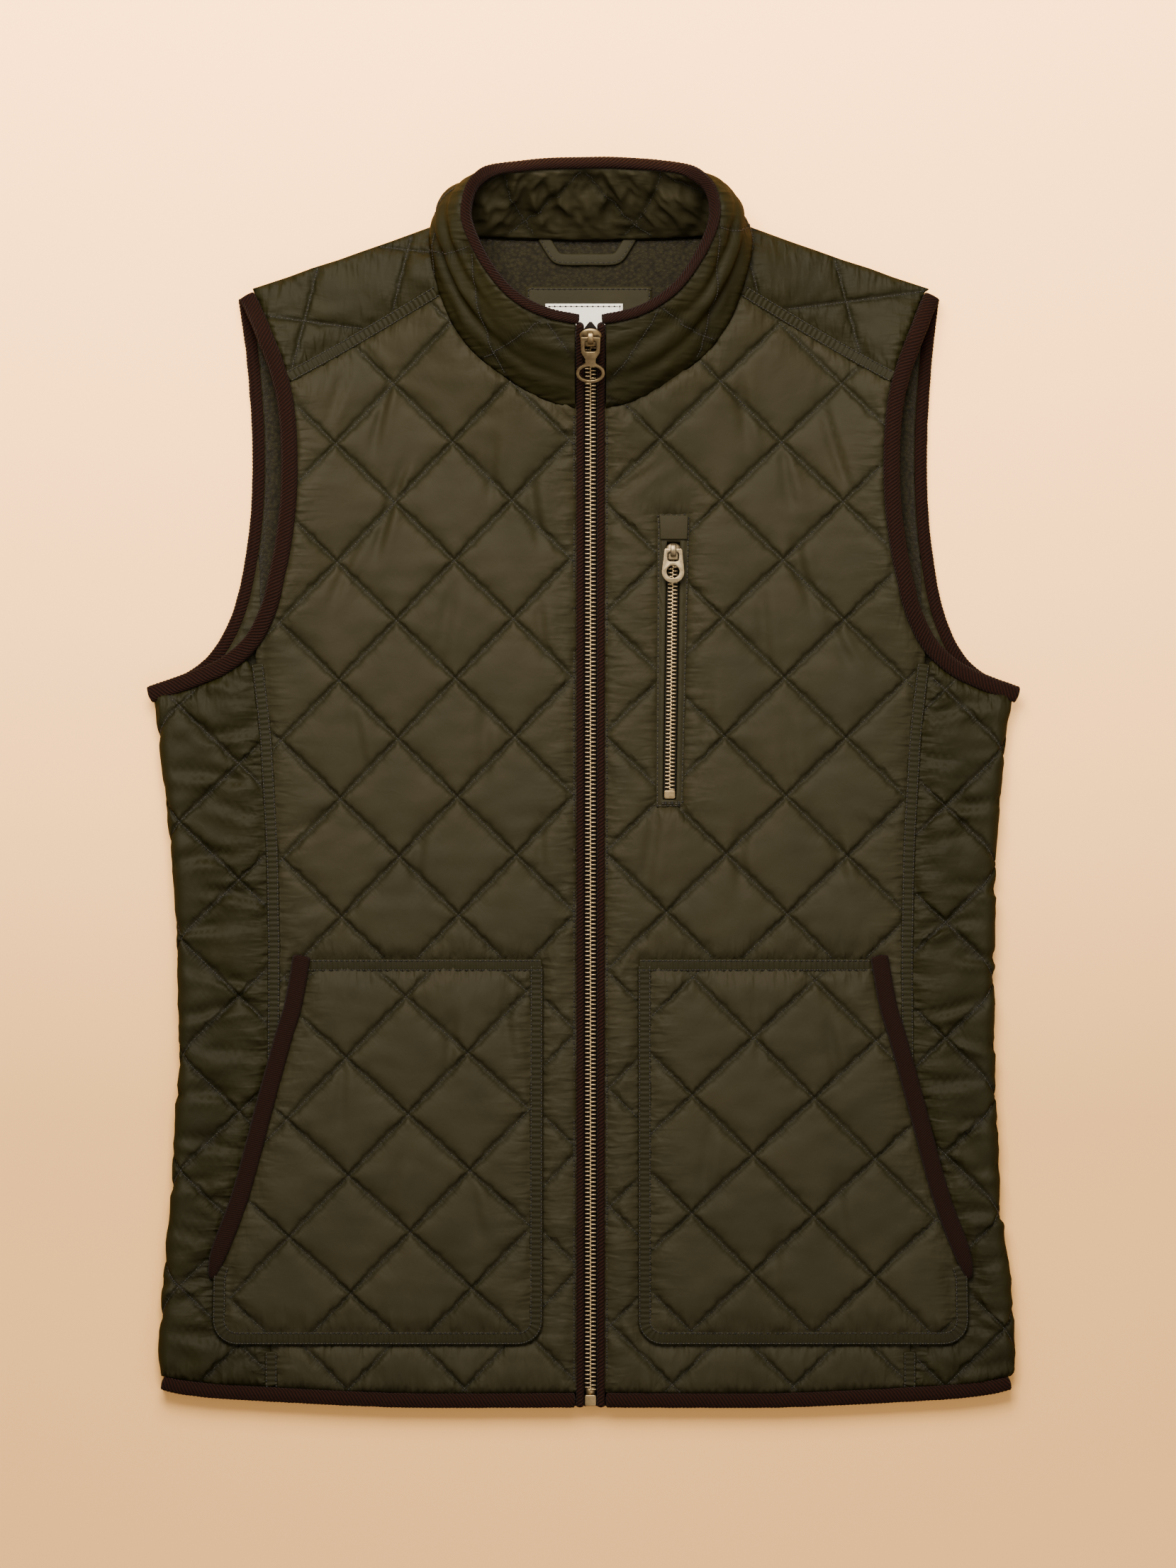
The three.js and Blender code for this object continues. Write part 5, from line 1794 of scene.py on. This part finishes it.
@dataclass
class Runner:
    """Slider and pull tab of a zip, in the plane of its pivot.

    The tab hangs from a bridge on the slider, and turns about the pivot.
    """

    name: str
    pivot: Vector
    slope: float
    lean: float
    half: Point
    body: float
    outline: list[Point]
    holes: list[list[Point]]
    pull_body: str
    metal: Finish = BRASS

    @property
    def matrix(self) -> Matrix:
        """Turns the pivot's own plane into the frame, in metres."""
        turn = Matrix.Rotation(-self.lean, 4, "Z") @ Matrix.Rotation(self.slope, 4, "X")
        return Matrix.Translation(world(self.pivot)) @ turn @ Matrix.Scale(MM, 4)

    def build(self) -> None:
        """Builds the slider and the pull tab."""
        made = bmesh.new()
        block(made, (self.half[0] * 1.5, self.half[1] * 1.9, 2.0))
        softened(made, 0.8)
        bmesh.ops.translate(made, vec=(0, -1.5, -0.7 - self.body), verts=made.verts)
        crown = bmesh.ops.create_uvsphere(made, u_segments=40, v_segments=14, radius=1.0)["verts"]
        bmesh.ops.scale(made, vec=(self.half[0], self.half[1] * 0.85, 1.5), verts=crown)
        bmesh.ops.translate(made, vec=(0, 0.6, -3.0), verts=crown)
        strewn(made, self.bridge(), [Matrix()])
        bmesh.ops.recalc_face_normals(made, faces=made.faces)
        bmesh.ops.transform(made, matrix=self.matrix, verts=made.verts)
        stand_for(finished(self.name + "_slider", made, [self.metal]), self.name + "_slider")
        tab = Plate(self.outline, self.holes, 1.6).mesh()
        bmesh.ops.transform(tab, matrix=self.matrix, verts=tab.verts)
        stand_for(finished(self.name + "_pull", tab, [self.metal]), self.name + "_pull", body=self.pull_body)

    @staticmethod
    def bridge() -> Mesh:
        """Bridge from which the tab hangs: a bar bent over the crown."""
        made = bmesh.new()
        bmesh.ops.create_grid(made, x_segments=26, y_segments=12, size=0.5)
        for vert in made.verts:
            angle = mix(-0.12 * math.pi, 1.12 * math.pi, vert.co.x + 0.5)
            centre = Vector((0, 0.2 + 3.5 * math.cos(angle), 2.3 * math.sin(angle) - 0.1))
            out = Vector((0, math.cos(angle), math.sin(angle)))
            s, t = squared((vert.co.y + 0.5) * math.tau, 0.6)
            vert.co = centre + Vector((1.7 * s, 0, 0)) + out * 0.6 * t
        bmesh.ops.remove_doubles(made, verts=made.verts, dist=1e-4)
        bmesh.ops.holes_fill(made, edges=[e for e in made.edges if e.is_boundary], sides=0)
        return made


@dataclass
class MainZip:
    """Main zip: ribbed strips, tape, teeth, box, slider and pull tab."""

    half: float = 3.6
    strip: float = 4.8
    strip_thick: float = 4.6
    rim: float = 48.5
    neck: float = 602.0
    top: float = 650.5

    def height(self, y: float) -> float:
        """Height of the zip's underside: flat, then up the slope of the collar."""
        if y < self.neck:
            return inner_height(9.0, y)
        return mix(inner_height(9.0, 600), self.rim, (y - self.neck) / (self.top - self.neck))

    def path(self, x: float, start: float, lift: float) -> list[Vector]:
        """Path up the zip at a distance from its middle."""
        rows = [start, *range(20, 500, 20), *range(500, 650, 6), self.top]
        return [Vector((x, y, self.height(y) + lift)) for y in rows]

    def build(self) -> None:
        """Builds the zip."""
        stitches = Stitches("zip_stitches", width=0.45)
        for side in Side:
            middle = side.value * (self.half + SEAM + self.strip / 2)
            Band(
                "zip_strip_" + side.label, self.path(middle, -0.8, 0), self.strip, self.strip_thick, RIB,
                ("zip_strip_" + side.label,), wave=0.22, skew=side.value * 1.2, columns=10, seed=6.0,
            ).build()
            edge = [p for p in self.path(side.value * 9.9, 14, WALL + 0.9) if p.y < 598]
            stitches.add_row(edge)
        stitches.build()
        tape = self.path(0, 6, 0.6)
        Band("main_zip_tape", tape, 7.6, 1.3, BROWN_TAPE, wave=0.0, step=4, columns=8).build()
        ZipChain("main_zip_chain", self.path(0, 9, 2.6)[:-2], 2.55, 3.45, "main_zip_chain").build()
        box = Plate(oval(0, 3.6, (3.5, 3.4), 6), [], 3.4, 0.5).mesh()
        block(box, (5.2, 5.0, 1.6), (0, 9.0, 0))
        set_down(box, (0, 0, FRONT_BASE + 2.2))
        stand_for(finished("main_zip_box", box, [BRASS]), "main_zip_box")
        slope = math.atan2(self.rim - self.height(self.neck), self.top - self.neck)
        up = Vector((0, -math.sin(slope), math.cos(slope)))
        pivot = Vector((0, 645, self.height(645))) + up * (self.strip_thick + SEAM + 2.6 + 1.6)
        outline = [(5.6, 1.1), (-5.6, 1.1), (-5.9, 0.8), (-5.6, -9.0), (-3.2, -13.4), (-3.1, -16.0)]
        ring = [
            (8.6 * math.cos(a), -23 + 6.6 * math.sin(a))
            for a in (2.2 + k / 40 * (3 * math.pi - 4.4) for k in range(41))
        ]
        outline += [*ring, (3.1, -16.0), (3.2, -13.4), (5.6, -9.0), (5.9, 0.8)]
        holes = [oval(0, -4.8, (3.5, 3.8), 5), oval(0, -23, (6.7, 4.7))]
        Runner("main_zip", pivot, slope, 0.0, (6.6, 5.6), 2.6, outline, holes, "main_pull").build()


@dataclass
class ChestZip:
    """Chest pocket: folded lips, tape, teeth, stop, slider and pull tab."""

    frame_top: float = 12.6

    def build(self) -> None:
        """Builds the pocket."""
        stitches = Stitches("chest_stitches", width=0.45)
        corners = CHEST.outline(-0.3)
        closed = [*corners, corners[0]]
        lips = bmesh.new()
        outer = self.ring(CHEST.outline(1.2))
        inner = self.ring([
            (CHEST.x_at(366) - 4.0, 366), (CHEST.x_at(366) + 4.0, 366),
            (CHEST.x_at(521) + 4.0, 521), (CHEST.x_at(521) - 4.0, 521),
        ])
        count = len(outer)
        bmesh.ops.create_grid(lips, x_segments=count, y_segments=12, size=0.5)
        # Share of the way inwards, and height above the floor, round the section of a lip.
        section = [
            (0.0, 9.4), (0.0, 10.3), (0.1, 11.0), (0.24, 11.5), (0.32, 11.4), (0.5, 12.2), (0.75, 12.5),
            (0.93, 12.4), (1.0, 11.8), (1.0, 11.0), (1.0, 9.6), (0.5, 9.4), (0.0, 9.4),
        ]
        for vert in lips.verts:
            k = round((vert.co.x + 0.5) * count) % count
            share, z = section[round((vert.co.y + 0.5) * 12)]
            (ox, oy), (ix, iy) = outer[k], inner[k]
            ripple = 0.5 * noise.noise(Vector((ix / 3, oy / 3, 51.0))) * (1 if 10 < z and share < 0.9 else 0)
            vert.co = world(Vector((mix(ox, ix, share), mix(oy, iy, share), z + ripple)))
        bmesh.ops.remove_doubles(lips, verts=lips.verts, dist=1e-6)
        bmesh.ops.recalc_face_normals(lips, faces=lips.faces)
        piece = stand_for(finished("chest_pocket_frame", lips, [NYLON]), "chest_pocket_frame")
        SeamBands.mark(piece, 0.05)
        stitches.add_row([Vector((x, y, self.frame_top - 0.95)) for x, y in spaced(closed, 120)])
        for y in (363.6, 364.4):
            stitches.add_row([Vector((CHEST.x_at(y) + x, y, self.frame_top + 0.25)) for x in (-6, 6)])
        stitches.build()
        tape = [Vector((CHEST.x_at(y), y, 9.5)) for y in (366, 440, 520)]
        Band("chest_zip_tape", tape, 7.9, 1.1, TAPE, wave=0.0, step=4, columns=8).build()
        path = [Vector((CHEST.x_at(y), y, 11.3)) for y in (371, 440, 513)]
        ZipChain("chest_zip_chain", path, 2.3, 3.05, "chest_zip_chain", (3.4, 1.0, 1.4)).build()
        stop = Plate(oval(CHEST.x_at(369), 369, (3.4, 2.6), 6), [], 2.2, 0.4).mesh()
        set_down(stop, (0, 0, 11.9))
        stand_for(finished("chest_zip_stop", stop, [BRASS]), "chest_zip_stop")
        tab = bmesh.new()
        block(tab, (17.4, 14.6, 1.5))
        lower = [v for v in tab.verts if v.co.y < 0]
        bmesh.ops.scale(tab, vec=(0.94, 1, 1), verts=lower)
        softened(tab, 0.6)
        set_down(tab, (50.2, 530, 13.0))
        piece = stand_for(finished("chest_pocket_tab", tab, [NYLON]), "chest_pocket_tab")
        SeamBands.mark(piece, 0.08)
        lean = math.atan2(-CHEST.drop, CHEST.top - CHEST.bottom)
        outline = [(4.6, 1.1), (-4.6, 1.1), (-5.4, 0.4), (-5.9, -4)]
        turns = (math.pi + k / 30 * math.pi for k in range(31))
        outline += [(6.9 * math.cos(a), -12.9 + 6.9 * math.sin(a)) for a in turns]
        outline += [(5.9, -4), (5.4, 0.4)]
        holes = [oval(0, -3.8, (3.4, 2.9), 4), oval(0, -12.9, (3.8, 3.8))]
        Runner(
            "chest_zip", Vector((CHEST.x_at(516), 516, 17.0)), 0.0, lean, (4.6, 4.6), 2.2, outline, holes,
            "chest_pull", PALE_BRASS,
        ).build()

    @staticmethod
    def ring(corners: Sequence[Point], count: int = 160) -> list[Point]:
        """Even points on a closed outline, starting at its first corner."""
        return spaced([*corners, corners[0]], count)[:-1]


@dataclass
class NeckPieces:
    """Facing, label and hanger loop inside the back of the neck."""

    base: float = FRONT_BASE

    def slab(self, name: str, low: Point, high: Point, z: float, thick: float, finish: Finish) -> Piece:
        """Thin cloth rectangle with soft edges."""
        made = bmesh.new()
        bmesh.ops.create_grid(made, x_segments=24, y_segments=14, size=0.5)
        bmesh.ops.solidify(made, geom=made.faces[:], thickness=-1.0)
        for vert in made.verts:
            x, y = mix(low[0], high[0], vert.co.x + 0.5), mix(low[1], high[1], vert.co.y + 0.5)
            wave = 0.25 * noise.noise(Vector((x / 14, y / 9, z)))
            top = z + thick + wave if vert.co.z > 0.5 else z + max(0.0, wave)
            vert.co = world(Vector((x, y, top)))
        bmesh.ops.recalc_face_normals(made, faces=made.faces)
        piece = stand_for(finished(name, made, [finish]), name)
        if finish is NYLON:
            SeamBands.mark(piece, 0.055)
        return piece

    def build(self) -> None:
        """Builds the pieces."""
        self.slab("back_neck_facing", (-39, 640), (37, 675.5), self.base, 0.8, NYLON)
        self.slab("neck_label", (-27.2, 646), (19.5, 665.1), self.base + 1.4, 0.6, LABEL)
        border = Stitches("label_stitches", Finish("dark_thread", Slot.LABEL, "#3b3a34", 0.7), 2.2, 0.32)
        height = self.base + 2.25
        ring = [(-25.4, 647.6), (17.7, 647.6), (17.7, 663.4), (-25.4, 663.4), (-25.4, 647.6)]
        border.add_row([Vector((x, y, height)) for x, y in ring])
        border.build()
        edge = Stitches("facing_stitches")
        ring = [(-37.5, 641), (-37.5, 674), (35.5, 674), (35.5, 641)]
        edge.add_row([Vector((x, y, self.base + 1.2)) for x, y in ring])
        edge.build()
        bends = [
            (-29, 706), (-24.5, 698.5), (-20.5, 693), (-15, 691.8), (-2, 691.8), (11, 691.8),
            (16.5, 693), (20.5, 698.5), (25, 706),
        ]
        path = [Vector((x, y, self.base)) for x, y in curve(bends, 30)]
        loop = Band("hanger_loop", path, 7.2, 2.0, NYLON, ("hanger_loop",), wave=0.0, step=1.2, squareness=5)
        SeamBands.mark(loop.build(), 0.04)
        row = Stitches("loop_stitches", length=1.8, width=0.35)
        row.add_row(loop.row_at(1.9, 2.05))
        row.build()


@dataclass
class Studio:
    """Paper floor, soft light from the head of the vest, and the camera straight above."""

    reach: float = 3.0
    wide: float = 0.9445
    floor_half: float = 3.0
    sensor: float = 36.0
    middle: tuple[float, float, float] = (0.00197, 0.0013, 0.014)

    def build(self) -> None:
        """Builds the floor, the lights and the camera."""
        made = bmesh.new()
        bmesh.ops.create_grid(made, x_segments=1, y_segments=1, size=self.floor_half)
        floor = finished("paper_floor", made, [PAPER], even=True)
        self.light("key", (-0.15, 0.85, 1.15), 0.9, 72.0, "#fff3e4")
        self.light("fill", (0.7, -0.9, 1.9), 2.0, 24.0, "#fff0e0")
        sky = bpy.data.worlds.new("studio")
        sky.use_nodes = True
        shade = sky.node_tree.nodes["Background"]
        shade.inputs["Color"].default_value = linear("#fff1e3")
        shade.inputs["Strength"].default_value = 0.54
        bpy.context.scene.world = sky
        lens = bpy.data.cameras.new("camera")
        lens.sensor_width = self.sensor
        lens.lens = self.sensor * self.reach / self.wide
        camera = bpy.data.objects.new("camera", lens)
        camera.location = Vector(self.middle) + Vector((0, 0, self.reach))
        bpy.context.scene.collection.objects.link(camera)
        bpy.context.scene.camera = camera

    @staticmethod
    def light(name: str, at: tuple[float, float, float], size: float, power: float, colour: str) -> None:
        """Adds an area light aimed at the vest."""
        lamp = bpy.data.lights.new(name, "AREA")
        lamp.energy = power
        lamp.size = size
        lamp.color = linear(colour)[:3]
        holder = bpy.data.objects.new(name, lamp)
        holder.location = at
        holder.rotation_euler = (-Vector(at)).to_track_quat("-Z", "Y").to_euler()
        bpy.context.scene.collection.objects.link(holder)


def main() -> None:
    """Builds the vest and its studio."""
    logging.basicConfig(level=logging.INFO, format="%(message)s")
    Studio().build()
    body = Body()
    panels = [maker(side) for maker in (body.front, body.yoke, body.side_panel, body.patch) for side in Side]
    panels.append(body.back())
    for panel in panels:
        panel.lay_out()
    Inflation([p for p in panels if p.name != "back_panel"]).run()
    for panel in panels:
        panel.press()
        stitches = Stitches("stitches_" + panel.name, holes=panel.name != "back_panel")
        panel.stitch_lines(stitches)
        panel.build()
        stitches.build()
    body.lining()
    Bindings().build()
    SeamBands().build()
    Collar().build()
    MainZip().build()
    ChestZip().build()
    NeckPieces().build()


if __name__ == "__main__":
    main()
